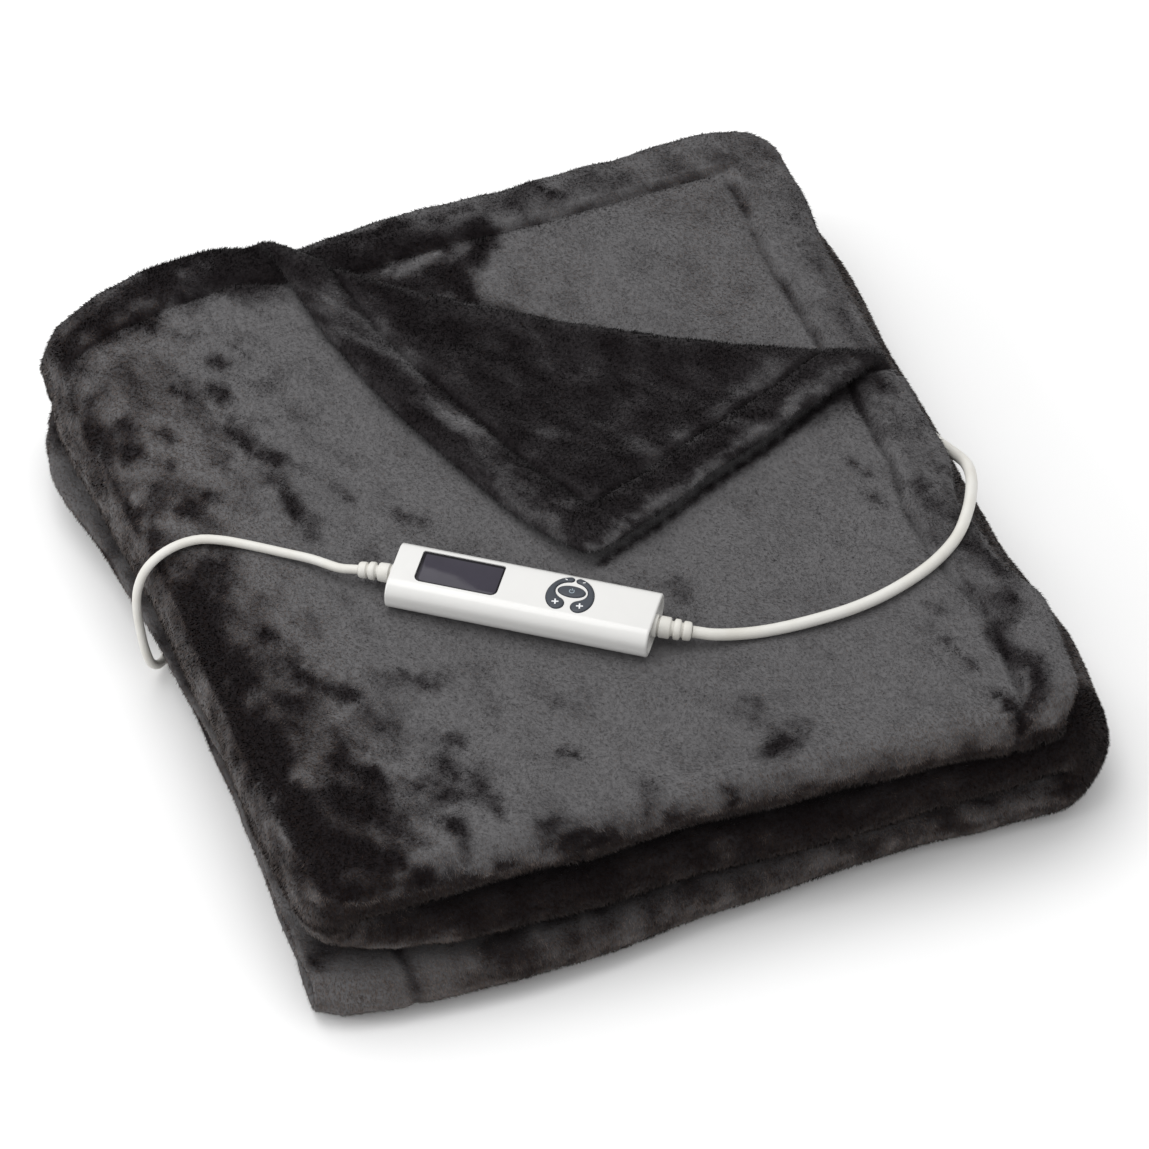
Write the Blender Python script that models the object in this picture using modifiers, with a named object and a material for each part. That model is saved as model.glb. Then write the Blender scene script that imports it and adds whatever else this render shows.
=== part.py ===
"""Electric heated throw, folded into a stack, with its handset and its two cords.

Metres. X runs along the front of the stack, Y from its front to its back, Z up. The origin is on
the surface that the stack rests on, close to the middle of its underside. The throw is one flat
sheet, cut along its folds and laid over them: four layers by a fold in four along its length, then
three groups of four by a fold in three across its width.
"""

import math

import bmesh
import bpy
from mathutils import Matrix, Vector

COLLECTION = "heated_blanket"
CUTTERS = "cutters"
GAP = 0.0003  # air left between neighbouring pieces

# The sheet.
CLOTH = 0.0068  # thickness of the plush, both faces and the wires between them
PITCH = 0.0078  # from layer to layer, the air between them included
GROUP = 4 * PITCH
SETTLE = 0.5 * (PITCH - CLOTH)  # lowers the stack onto the surface
LENGTH = 1.80
TOP_Z = 3 * GROUP - 2 * SETTLE  # upper face of the top layer

# The fold in four: axes of the folds and where the two hems end, along Y.
FRONT_Y = -0.200
INNER_Y = FRONT_Y + 0.003
TOP_HEM_Y = 0.243
UNDER_HEM_Y = 0.241
OUTER_R = 1.5 * PITCH
INNER_R = 0.5 * PITCH
FOLD_ARCS = math.pi * (OUTER_R + 2 * INNER_R)
LAYERS_LEFT = LENGTH - FOLD_ARCS - (TOP_HEM_Y - FRONT_Y) - (UNDER_HEM_Y - INNER_Y)
BACK_Y = 0.5 * (LAYERS_LEFT + FRONT_Y + INNER_Y)

# The fold in three: axes of the two bends and where the side hems end, along X.
LEFT_X = -0.184
RIGHT_X = 0.200
TOP_HEM_X = 0.204
LOW_HEM_X = -0.209
BEND_ARC = math.pi * 2 * PITCH

# The corner of the top layer that is turned back.
TURN_START = Vector((-0.086, 0.239))
TURN_END = Vector((0.206, 0.033))
TURN_BOW = 0.026  # how far the turned edge sags towards the flap's tip
TURN_R = 0.0055
TURN_EASE = 0.08  # share of the flap's reach taken up by its small wrinkles
FLAP_REST = 0.0079  # the flap's height over the top layer, once it lies flat
FLAP_SETTLE = 0.035  # over which it comes down to that height
FLAP_CURL = 0.0035  # rise of its free right edge

# How uneven the stack is. Front and back edges: x, then forward (-) or back (+) of each group.
#   x, front top, front middle, front low, back top, back middle, back low
END_EDGES = (
    (-0.215, 0.011, 0.018, 0.002, -0.027, -0.006, -0.014),
    (-0.198, 0.008, 0.014, -0.006, -0.014, 0.002, -0.010),
    (-0.168, 0.004, 0.004, -0.012, -0.001, 0.008, -0.008),
    (-0.138, 0.003, -0.003, -0.014, 0.005, 0.011, -0.007),
    (-0.106, 0.002, -0.005, -0.015, 0.007, 0.012, -0.006),
    (-0.070, 0.000, -0.006, -0.017, -0.003, 0.012, -0.006),
    (0.005, -0.002, -0.008, -0.012, 0.005, 0.012, -0.005),
    (0.068, -0.004, -0.013, -0.011, 0.000, 0.011, -0.005),
    (0.124, -0.009, -0.014, -0.012, 0.000, 0.010, -0.006),
    (0.170, -0.014, -0.013, -0.016, 0.000, 0.008, -0.008),
    (0.205, -0.012, -0.012, -0.017, -0.004, 0.004, -0.012),
    (0.235, -0.004, -0.002, -0.005, -0.010, -0.004, -0.020),
)
# Sides: y, then how far right (+) or left (-) the left bend and the right bend lie.
SIDE_EDGES = (
    (-0.243, 0.008, -0.020),
    (-0.218, 0.003, -0.010),
    (-0.190, -0.001, 0.000),
    (-0.140, -0.003, 0.004),
    (-0.090, -0.001, -0.001),
    (-0.060, 0.002, -0.004),
    (-0.020, 0.001, -0.003),
    (0.030, -0.001, 0.000),
    (0.110, 0.001, 0.000),
    (0.180, 0.000, 0.000),
    (0.240, 0.004, -0.004),
)
# Side hems, by the place along the cut length: s, then how far right the top group's hem and the
# low group's hem lie. The top one is set in where the blanket lead goes into it, and the low one
# beside the mains lead.
HEM_EDGES = (
    (0.000, 0.000, 0.000),
    (0.060, 0.000, -0.010),
    (0.130, 0.000, -0.006),
    (0.210, 0.000, -0.002),
    (0.268, 0.003, 0.000),
    (0.309, -0.003, 0.001),
    (0.345, -0.006, -0.001),
    (0.385, 0.003, -0.002),
    (0.436, 0.002, -0.006),
    (0.462, -0.004, -0.009),
    (0.490, -0.006, -0.004),
    (0.520, -0.007, 0.000),
    (0.620, -0.002, 0.003),
    (0.680, -0.004, 0.004),
    (0.705, -0.020, 0.0160),
    (0.735, -0.020, 0.021),
    (0.760, -0.020, 0.021),
    (0.785, -0.004, 0.021),
    (0.905, -0.005, 0.021),
    (0.940, -0.007, 0.008),
    (1.060, -0.002, 0.006),
    (1.200, -0.006, 0.004),
    (1.345, -0.003, 0.001),
    (1.470, 0.001, -0.002),
    (1.600, 0.003, 0.002),
    (1.690, 0.006, -0.004),
    (1.750, 0.013, -0.006),
    (1.780, 0.014, -0.003),
    (1.800, 0.006, 0.002),
)
HEM_REACH = 0.10  # how far in from a side hem its own shifts are felt
# Hollows (-) and swells (+) of the stack, as a share of its height: x, y, radius, share.
SWELLS = (
    (-0.215, 0.215, 0.050, -0.050),
    (-0.205, -0.205, 0.055, -0.075),
    (0.205, -0.225, 0.055, -0.075),
    (0.215, 0.225, 0.055, -0.040),
    (-0.150, 0.060, 0.060, -0.012),
    (-0.120, 0.190, 0.070, 0.020),
    (0.150, -0.010, 0.050, -0.010),
    (0.100, 0.170, 0.080, 0.012),
    (0.060, -0.195, 0.060, -0.025),
    (-0.120, -0.190, 0.050, 0.012),
)

# The handset, on the top layer. Its own axes: u to its right end, v to its far side.
CASE_LENGTH = 0.140
CASE_WIDTH = 0.038
CASE_HEIGHT = 0.0185
CASE_ROUND = 0.0080
CASE_END_ROUND = 0.0012
CASE_CENTRE = Vector((-0.0446, -0.0640))
CASE_ANGLE = math.radians(-36.5)
CASE_SPLIT = 0.45  # height of the seam, as a share of the case
END_RECESS = 0.0016
END_RIM = 0.0022
FEATURES_V = 0.0012  # middle of the window and the keys, off the case's middle

WINDOW_U = -0.0348
WINDOW_SIZE = (0.0440, 0.0215)
WINDOW_FAR_R = 0.0014
WINDOW_NEAR_R = 0.0036
WINDOW_THICK = 0.0014
WINDOW_SINK = 0.0005

KEYS_U = 0.0245
KEY_HEIGHT = 0.0028
KEY_PROUD = 0.0006
KEY_FLOOR = 0.0012  # room under a key for its travel
KEY_CLEAR = 0.0003
POWER_AXES = (0.0073, 0.0039)
POWER_V = 0.0022
SPINE_AXES = (0.0104, 0.0098)  # half axes of the line that a crescent key follows
SPINE_V = 0.0008
SPINE_FROM = 97
SPINE_TO = 236
CRESCENT_THIN = 0.0013
CRESCENT_THICK = 0.0040
CRESCENT_STEPS = 14

# Cords.
BLANKET_LEAD_D = 0.0064
MAINS_D = 0.0050
CORD_STEP = 2.4  # diameters between the points of a cord
RELIEF_LENGTH = 0.020
# How far a relief's tip is bent out of line by its cord: towards the case's far side, and down.
RELIEF_BEND = {"relief_right": (0.0020, 0.0014), "relief_left": (0.0000, 0.0018)}

# Points that the blanket lead's axis passes, from the handset to where it goes under the hem.
BLANKET_LEAD = (
    (0.0520, -0.1225, 0.0968),
    (0.0680, -0.1252, 0.0961),
    (0.0900, -0.1268, 0.0960),
    (0.1150, -0.1264, 0.0960),
    (0.1390, -0.1222, 0.0964),
    (0.1640, -0.1130, 0.0966),
    (0.1830, -0.1005, 0.0966),
    (0.1965, -0.0845, 0.0962),
    (0.2055, -0.0690, 0.0940),
    (0.2110, -0.0560, 0.0900),
    (0.2143, -0.0430, 0.0845),
    (0.2150, -0.0290, 0.0775),
    (0.2140, -0.0150, 0.0712),
    (0.2120, -0.0015, 0.0676),
    (0.2100, 0.0110, 0.0662),
    (0.2060, 0.0240, 0.0660),
    (0.1985, 0.0360, 0.0660),
    (0.1868, 0.0432, 0.0660),
)
# Points that the mains lead's axis passes, from the handset to its hank behind the stack.
MAINS_LEAD = (
    (-0.1350, 0.0085, 0.0962),
    (-0.1470, 0.0190, 0.0954),
    (-0.1640, 0.0325, 0.0952),
    (-0.1745, 0.0395, 0.0954),
    (-0.1850, 0.0440, 0.0955),
    (-0.1960, 0.0460, 0.0935),
    (-0.2060, 0.0468, 0.0885),
    (-0.2140, 0.0470, 0.0802),
    (-0.2190, 0.0465, 0.0680),
    (-0.2205, 0.0450, 0.0540),
    (-0.2200, 0.0425, 0.0400),
    (-0.2188, 0.0402, 0.0275),
    (-0.2160, 0.0407, 0.0160),
    (-0.2110, 0.0448, 0.0082),
    (-0.2052, 0.0515, 0.0042),
    (-0.2003, 0.0605, 0.0029),
    (-0.1970, 0.0715, 0.0027),
    (-0.1952, 0.0850, 0.0027),
    (-0.1950, 0.1180, 0.0027),
    (-0.1955, 0.1700, 0.0027),
    (-0.1950, 0.2100, 0.0027),
    (-0.1946, 0.2280, 0.0027),
    (-0.1920, 0.2430, 0.0028),
    (-0.1840, 0.2540, 0.0033),
    (-0.1722, 0.2588, 0.0038),
)

# The mains lead's unseen length, put away behind the stack, and its plug.
HANK_SIZE = (0.145, 0.045, 0.0152)
HANK_CENTRE = (-0.098, 0.2790)
HANK_BASE = 0.0015
HANK_IN = (-0.1631, 0.2590, 0.0040)  # where the lead meets its first turn
HANK_OUT = (-0.0270, 0.2663, 0.0129)  # where the tail leaves its last
TAIL_ROUTE = (
    (-0.0200, 0.2679, 0.0121),
    (-0.0100, 0.2705, 0.0109),
    (0.0000, 0.2732, 0.0096),
    (0.0100, 0.2757, 0.0084),
    (0.0200, 0.2777, 0.0074),
    (0.0280, 0.2787, 0.0069),
)
TIE_WIDTH = 0.012
TIE_THICK = 0.0008
PLUG_SIZE = (0.034, 0.0240, 0.0136)
PLUG_NOSE = 0.0135  # width of the plug at its cord end
PLUG_BACK = (0.0620, 0.2790)
PIN_R = 0.0020
PIN_LENGTH = 0.019
PIN_SPACING = 0.0186

PLUSH = (0.075, 0.072, 0.074, 1.0)
WARM_WHITE = (0.83, 0.82, 0.79, 1.0)
SMOKED = (0.030, 0.028, 0.040, 1.0)
NAVY = (0.030, 0.036, 0.050, 1.0)
NICKEL = (0.72, 0.70, 0.66, 1.0)


def clear_scene():
    for item in list(bpy.data.objects):
        bpy.data.objects.remove(item, do_unlink=True)


def make_collection(name):
    group = bpy.data.collections.new(name)
    bpy.context.scene.collection.children.link(group)
    return group


def material(name, colour, roughness, metallic=0.0):
    finish = bpy.data.materials.new(name)
    finish.use_nodes = True
    shader = finish.node_tree.nodes["Principled BSDF"]
    shader.inputs["Base Color"].default_value = colour
    shader.inputs["Roughness"].default_value = roughness
    shader.inputs["Metallic"].default_value = metallic
    finish.diffuse_color = colour
    return finish


def link(data, name, finish, group, place=None):
    item = bpy.data.objects.new(name, data)
    if place is not None:
        item.matrix_world = place
    if finish is not None:
        data.materials.append(finish)
    group.objects.link(item)
    return item


def mesh_from(bm, name):
    bmesh.ops.recalc_face_normals(bm, faces=bm.faces)
    mesh = bpy.data.meshes.new(name)
    bm.to_mesh(mesh)
    bm.free()
    mesh.shade_smooth()
    mesh.set_sharp_from_angle(angle=math.radians(40))
    return mesh


def between(rows, at, column):
    """A table's column at a place, eased between its rows."""
    if at <= rows[0][0]:
        return rows[0][column]
    for low, high in zip(rows, rows[1:]):
        if at <= high[0]:
            share = (at - low[0]) / (high[0] - low[0])
            share = share * share * (3 - 2 * share)
            return low[column] + (high[column] - low[column]) * share
    return rows[-1][column]


# ---- the folded sheet ----

def front_turn(axis_y, radius, first, angle):
    """A fold at the front; first is +1 where it starts from the upper layer."""
    return axis_y - radius * math.sin(angle), 2 * PITCH + first * radius * math.cos(angle)


def back_turn(angle):
    return BACK_Y + INNER_R * math.sin(angle), PITCH - INNER_R * math.cos(angle)


# Along the cut length: run's length, its divisions, and its (y, height in the group).
RUNS = (
    (TOP_HEM_Y - FRONT_Y, 9, lambda d: (TOP_HEM_Y - d, 3.5 * PITCH)),
    (math.pi * OUTER_R, 8, lambda d: front_turn(FRONT_Y, OUTER_R, 1, d / OUTER_R)),
    (BACK_Y - FRONT_Y, 7, lambda d: (FRONT_Y + d, 0.5 * PITCH)),
    (math.pi * INNER_R, 6, lambda d: back_turn(d / INNER_R)),
    (BACK_Y - INNER_Y, 5, lambda d: (BACK_Y - d, 1.5 * PITCH)),
    (math.pi * INNER_R, 6, lambda d: front_turn(INNER_Y, INNER_R, -1, d / INNER_R)),
    (UNDER_HEM_Y - INNER_Y, 7, lambda d: (INNER_Y + d, 2.5 * PITCH)),
)


def left_bend(d, w):
    turn = math.pi * d / BEND_ARC
    return LEFT_X - w * math.sin(turn), 2 * GROUP + w * math.cos(turn)


def right_bend(d, w):
    turn = math.pi * d / BEND_ARC
    return RIGHT_X + (GROUP - w) * math.sin(turn), GROUP + (GROUP - w) * math.cos(turn)


# Across the width: panel's length, its divisions, and its (x, z) for a height w in the group.
PANELS = (
    (TOP_HEM_X - LEFT_X, 9, lambda d, w: (TOP_HEM_X - d, 2 * GROUP + w)),
    (BEND_ARC, 8, left_bend),
    (RIGHT_X - LEFT_X, 6, lambda d, w: (LEFT_X + d, 2 * GROUP - w)),
    (BEND_ARC, 8, right_bend),
    (RIGHT_X - LOW_HEM_X, 8, lambda d, w: (RIGHT_X - d, w)),
)
WIDTH = sum(panel[0] for panel in PANELS)
TOP_RUN = RUNS[0][0]
TOP_PANEL = PANELS[0][0]


def stations(parts):
    """Places of the sheet's rows: every part's length cut into its divisions."""
    places = [0.0]
    for length, divisions, _ in parts:
        start = places[-1]
        places += [start + length * i / divisions for i in range(1, divisions + 1)]
    return places


def locate(parts, at):
    """The part that a place falls in, and how far into it."""
    for index, part in enumerate(parts):
        if at <= part[0] + 1e-7 or index == len(parts) - 1:
            return index, min(at, part[0])
        at -= part[0]


def group_shares(index, d):
    """How much of the top, middle and low group's outline a place takes."""
    if index % 2 == 0:
        return tuple(1.0 if index == 2 * k else 0.0 for k in range(3))
    turned = 0.5 - 0.5 * math.cos(math.pi * d / BEND_ARC)
    if index == 1:
        return 1 - turned, turned, 0.0
    return 0.0, 1 - turned, turned


TURN_LENGTH = (TURN_END - TURN_START).length
TURN_ALONG = (TURN_END - TURN_START) / TURN_LENGTH
TURN_OUT = Vector((-TURN_ALONG.y, TURN_ALONG.x))


def turn_bow(t):
    share = min(max(t / TURN_LENGTH, 0.0), 1.0)
    return TURN_BOW * 4 * share * (1 - share)


def to_turn(p, s):
    """Place on the flat sheet as (along the turned edge, beyond it)."""
    flat = Vector((TOP_HEM_X - p, TOP_HEM_Y - s)) - TURN_START
    t = flat.dot(TURN_ALONG)
    return t, flat.dot(TURN_OUT) + turn_bow(t)


def from_turn(t, q):
    flat = TURN_START + TURN_ALONG * t + TURN_OUT * (q - turn_bow(t))
    return TOP_HEM_X - flat.x, TOP_HEM_Y - flat.y


def turned_back(p, s):
    """Place of a point of the turned corner, and its rise over the top layer."""
    t, q = to_turn(p, s)
    half_round = math.pi * TURN_R
    if q <= half_round:
        out = TURN_R * math.sin(q / TURN_R)
        rise = TURN_R * (1 - math.cos(q / TURN_R))
    else:
        reach = q - half_round
        out = -reach * (1 - TURN_EASE)
        down = min(reach / FLAP_SETTLE, 1.0)
        rise = 2 * TURN_R - (2 * TURN_R - FLAP_REST) * down * down * (3 - 2 * down)
        rise += FLAP_CURL * down * math.exp(-(p / 0.035) ** 2)
    flat = TURN_START + TURN_ALONG * t + TURN_OUT * (out - turn_bow(t))
    return flat.x, flat.y, rise


def swell(x, y):
    share = 0.0
    for centre_x, centre_y, radius, amount in SWELLS:
        square = ((x - centre_x) ** 2 + (y - centre_y) ** 2) / radius ** 2
        share += amount * math.exp(-square)
    return share


def uneven(x, y, z, shares):
    """The stack's own irregular outline and top, from the tables above."""
    ahead = sum(share * between(END_EDGES, x, 1 + k) for k, share in enumerate(shares))
    behind = sum(share * between(END_EDGES, x, 4 + k) for k, share in enumerate(shares))
    depth = min(max((y - FRONT_Y) / (TOP_HEM_Y - FRONT_Y), 0.0), 1.0)
    moved_y = y + ahead * (1 - depth) + behind * depth
    across = min(max((x - LEFT_X) / (RIGHT_X - LEFT_X), 0.0), 1.0)
    moved_x = x + between(SIDE_EDGES, y, 1) * (1 - across) + between(SIDE_EDGES, y, 2) * across
    lifted = z - PITCH
    if lifted > 0:
        z += lifted * swell(x, y)
    return Vector((moved_x, moved_y, z - SETTLE))


def folded(p, s):
    """Where a point of the flat sheet lies in the stack."""
    run, along = locate(RUNS, s)
    panel, across = locate(PANELS, p)
    y, w = RUNS[run][2](along)
    x, z = PANELS[panel][2](across, w)
    if run == 0 and panel == 0 and to_turn(p, s)[1] > 0:
        x, y, rise = turned_back(p, s)
        z += rise
    else:
        near_top_hem = max(0.0, 1 - p / HEM_REACH)
        near_low_hem = max(0.0, 1 - (WIDTH - p) / HEM_REACH)
        x += between(HEM_EDGES, s, 1) * near_top_hem + between(HEM_EDGES, s, 2) * near_low_hem
    return uneven(x, y, z, group_shares(panel, across))


def flat_sheet():
    """The sheet as cut, with a row of points at every place where it will bend."""
    across = stations(PANELS)
    along = stations(RUNS)
    bm = bmesh.new()
    columns = len(across) - 1
    rows = len(along) - 1
    bmesh.ops.create_grid(bm, x_segments=columns, y_segments=rows, size=1.0)
    for vert in bm.verts:
        column = round((vert.co.x + 1) / 2 * columns)
        row = round((vert.co.y + 1) / 2 * rows)
        vert.co = (across[column], along[row], 0.0)
    return bm


def cut_turned_edge(bm):
    """Rows of points across the top layer, parallel to the corner's turned edge."""
    half_round = math.pi * TURN_R
    places = [half_round * i / 7 for i in range(8)] + [half_round + 0.016, half_round + FLAP_SETTLE]
    top = [f for f in bm.faces
           if f.calc_center_median().x < TOP_PANEL and f.calc_center_median().y < TOP_RUN]
    for vert in bm.verts:
        vert.co.xy = to_turn(*vert.co.xy)
    for place in places:
        edges = {edge for face in top for edge in face.edges}
        verts = {vert for face in top for vert in face.verts}
        bmesh.ops.bisect_plane(bm, geom=list(verts) + list(edges) + top, dist=0.0004,
                               plane_co=(0, place, 0), plane_no=(0, 1, 0))
        bm.faces.ensure_lookup_table()
        top = [f for f in bm.faces if is_top(f)]
    for vert in bm.verts:
        vert.co.xy = from_turn(*vert.co.xy)


def is_top(face):
    p, s = from_turn(*face.calc_center_median().xy)
    return p < TOP_PANEL and s < TOP_RUN


def make_blanket(finish, group):
    bm = flat_sheet()
    cut_turned_edge(bm)
    for vert in bm.verts:
        vert.co = folded(vert.co.x, vert.co.y)
    mesh = mesh_from(bm, "blanket")
    item = link(mesh, "blanket", finish, group)
    thick = item.modifiers.new("thickness", "SOLIDIFY")
    thick.thickness = CLOTH
    thick.offset = 0.0
    return item


# ---- the handset ----

def case_place():
    """Frame of the handset: u, v and up, at the middle of the case's underside."""
    turn = Matrix.Rotation(CASE_ANGLE, 4, "Z")
    return Matrix.Translation((CASE_CENTRE.x, CASE_CENTRE.y, TOP_Z + GAP)) @ turn


def rounded_outline(size, radii, steps=5):
    """Points of a rectangle with a radius at each corner, from the near left, going round."""
    half_u, half_v = size[0] / 2, size[1] / 2
    corners = ((-1, -1, 180), (1, -1, 270), (1, 1, 0), (-1, 1, 90))
    points = []
    for (side_u, side_v, start), radius in zip(corners, radii):
        centre = Vector((side_u * (half_u - radius), side_v * (half_v - radius)))
        for i in range(steps + 1):
            angle = math.radians(start + 90 * i / steps)
            points.append(centre + radius * Vector((math.cos(angle), math.sin(angle))))
    return points


def ellipse_outline(half_axes, steps=28):
    turns = [2 * math.pi * i / steps for i in range(steps)]
    return [Vector((half_axes[0] * math.cos(a), half_axes[1] * math.sin(a))) for a in turns]


def crescent_outline(side, grow):
    """Outline of a crescent key: thin at its far end, swelling to a round lobe near the user."""
    spine = []
    for i in range(CRESCENT_STEPS + 1):
        share = i / CRESCENT_STEPS
        angle = math.radians(SPINE_FROM + (SPINE_TO - SPINE_FROM) * share)
        centre = Vector((SPINE_AXES[0] * math.cos(angle), SPINE_V + SPINE_AXES[1] * math.sin(angle)))
        swelling = CRESCENT_THIN + (CRESCENT_THICK - CRESCENT_THIN) * share ** 2.4
        spine.append((centre, swelling + grow))
    outer, inner = [], []
    for i, (centre, width) in enumerate(spine):
        ahead = spine[min(i + 1, CRESCENT_STEPS)][0] - spine[max(i - 1, 0)][0]
        normal = Vector((ahead.y, -ahead.x)).normalized()
        outer.append(centre - normal * width)
        inner.append(centre + normal * width)
    points = outer + end_cap(spine[-1], spine[-2][0], 5) + inner[::-1] + end_cap(spine[0], spine[1][0], 3)
    return [Vector((-side * point.x, point.y)) for point in points][::side]


def end_cap(end, before, steps):
    """Points round the end of a crescent, between its outer and inner line."""
    centre, width = end
    out = (centre - before).normalized()
    across = Vector((-out.y, out.x))
    turns = [math.pi * i / (steps + 1) for i in range(1, steps + 1)]
    return [centre - width * (across * -math.cos(a) - out * math.sin(a)) for a in turns]


def plate(name, outline, low, high, finish, group, place):
    """A flat outline given a thickness between two heights, as a closed mesh."""
    curve = bpy.data.curves.new(name + "_outline", "CURVE")
    curve.dimensions = "2D"
    curve.fill_mode = "BOTH"
    curve.extrude = (high - low) / 2
    spline = curve.splines.new("POLY")
    spline.points.add(len(outline) - 1)
    for point, corner in zip(spline.points, outline):
        point.co = (corner.x, corner.y, 0.0, 1.0)
    spline.use_cyclic_u = True
    shift = Matrix.Translation((0, 0, (low + high) / 2))
    return curve_to_mesh(curve, name, finish, group, place @ shift)


def curve_to_mesh(curve, name, finish, group, place):
    """The curve's own shape as a mesh object, its caps joined on."""
    holder = link(curve, name + "_curve", None, group, place)
    shape = holder.evaluated_get(bpy.context.evaluated_depsgraph_get())
    mesh = bpy.data.meshes.new_from_object(shape)
    bpy.data.objects.remove(holder, do_unlink=True)
    bm = bmesh.new()
    bm.from_mesh(mesh)
    bpy.data.meshes.remove(mesh)
    bmesh.ops.remove_doubles(bm, verts=bm.verts, dist=1e-6)
    closed = mesh_from(bm, name)
    return link(closed, name, finish, group, place)


def as_cutter(item, cutters):
    for owner in list(item.users_collection):
        owner.objects.unlink(item)
    cutters.objects.link(item)
    item.hide_render = True
    item.display_type = "WIRE"
    return item


def cut(item, cutter, operation="DIFFERENCE"):
    carve = item.modifiers.new("cut", "BOOLEAN")
    carve.operation = operation
    carve.solver = "EXACT"
    carve.object = cutter


def rounded_bar(name, low, high, finish, group, place):
    """The case's full rounded form, kept between two heights."""
    bm = bmesh.new()
    bmesh.ops.create_cube(bm, size=1.0)
    bmesh.ops.scale(bm, vec=(CASE_LENGTH, CASE_WIDTH, CASE_HEIGHT), verts=bm.verts)
    bmesh.ops.translate(bm, vec=(0, 0, CASE_HEIGHT / 2), verts=bm.verts)
    long_edges = [e for e in bm.edges if abs(e.verts[0].co.x - e.verts[1].co.x) > CASE_LENGTH / 2]
    bmesh.ops.bevel(bm, geom=long_edges, offset=CASE_ROUND, segments=6, profile=0.5,
                    affect="EDGES")
    ends = [e for e in bm.edges if abs(e.verts[0].co.x - e.verts[1].co.x) < 1e-6
            and len({round(f.normal.x) for f in e.link_faces}) == 2]
    bmesh.ops.bevel(bm, geom=ends, offset=CASE_END_ROUND, segments=2, profile=0.5,
                    affect="EDGES")
    for height, keep_above in ((low, True), (high, False)):
        if 0 < height < CASE_HEIGHT:
            geom = list(bm.verts) + list(bm.edges) + list(bm.faces)
            result = bmesh.ops.bisect_plane(bm, geom=geom, plane_co=(0, 0, height),
                                            plane_no=(0, 0, 1), clear_inner=keep_above,
                                            clear_outer=not keep_above)
            rim = [g for g in result["geom_cut"] if isinstance(g, bmesh.types.BMEdge)]
            bmesh.ops.contextual_create(bm, geom=rim)
    mesh = mesh_from(bm, name)
    return link(mesh, name, finish, group, place)


def end_recess_cutter(side, group, cutters, place):
    """The shallow dish in an end of the case, round the strain relief."""
    inset = END_RIM
    outline = rounded_outline((CASE_WIDTH - 2 * inset, CASE_HEIGHT - 2 * inset),
                              (CASE_ROUND - inset,) * 4)
    depth = 2 * END_RECESS
    turn = Matrix(((0, 0, 1, 0), (1, 0, 0, 0), (0, 1, 0, 0), (0, 0, 0, 1)))
    centre = Matrix.Translation((side * CASE_LENGTH / 2, 0, CASE_HEIGHT / 2))
    item = plate("end_recess_" + ("right" if side > 0 else "left"), outline, -depth / 2,
                 depth / 2, None, group, place @ centre @ turn)
    return as_cutter(item, cutters)


def make_case(finish, group, cutters):
    place = case_place()
    seam = CASE_HEIGHT * CASE_SPLIT
    top = rounded_bar("case_top", seam + GAP / 2, CASE_HEIGHT, finish, group, place)
    bottom = rounded_bar("case_bottom", 0.0, seam - GAP / 2, finish, group, place)
    for side in (-1, 1):
        recess = end_recess_cutter(side, group, cutters, place)
        cut(top, recess)
        cut(bottom, recess)
    return top


def at_feature(u, v):
    return case_place() @ Matrix.Translation((u, v + FEATURES_V, 0))


def make_window(finish, case, group, cutters):
    place = at_feature(WINDOW_U, 0.0)
    radii = (WINDOW_NEAR_R, WINDOW_NEAR_R, WINDOW_FAR_R, WINDOW_FAR_R)
    top = CASE_HEIGHT - WINDOW_SINK
    low = top - WINDOW_THICK
    roomy = (WINDOW_SIZE[0] + 2 * GAP, WINDOW_SIZE[1] + 2 * GAP)
    pocket = plate("window_pocket", rounded_outline(roomy, radii), low - GAP,
                   CASE_HEIGHT + 0.002, None, group, place)
    cut(case, as_cutter(pocket, cutters))
    plate("display_window", rounded_outline(WINDOW_SIZE, radii), low, top, finish, group, place)


def make_key(name, outlines, v, finish, case, group, cutters):
    """A key in its pocket, from its own outline and the pocket's."""
    place = at_feature(KEYS_U, v)
    top = CASE_HEIGHT + KEY_PROUD
    low = top - KEY_HEIGHT
    pocket = plate(name + "_pocket", outlines[1], low - KEY_FLOOR, CASE_HEIGHT + 0.002, None,
                   group, place)
    cut(case, as_cutter(pocket, cutters))
    plate(name, outlines[0], low, top, finish, group, place)


def make_keys(finish, case, group, cutters):
    for side, name in ((1, "key_left"), (-1, "key_right")):
        outlines = (crescent_outline(side, 0.0), crescent_outline(side, KEY_CLEAR))
        make_key(name, outlines, 0.0, finish, case, group, cutters)
    roomy = [axis + KEY_CLEAR for axis in POWER_AXES]
    outlines = (ellipse_outline(POWER_AXES), ellipse_outline(roomy))
    make_key("key_power", outlines, POWER_V, finish, case, group, cutters)


# ---- strain reliefs and cords ----

def relief_profile(length, cord):
    """Half section of a ribbed sleeve: distance from its axis, distance along it."""
    root = cord / 2 + 0.0024
    tip = cord / 2 + 0.0016
    profile = [(0.0, 0.0), (root + 0.0006, 0.0), (root + 0.0006, 0.0026), (root - 0.0010, 0.0030)]
    ribs = 3
    start = 0.0046
    step = (length - start) / ribs
    for i in range(ribs):
        radius = root + (tip - root) * i / (ribs - 1)
        z = start + step * i
        profile += [(radius, z), (radius, z + step * 0.62)]
        if i < ribs - 1:
            profile += [(radius - 0.0007, z + step * 0.70), (radius - 0.0007, z + step * 0.92)]
    profile += [(tip, length), (0.0, length)]
    return profile


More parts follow.
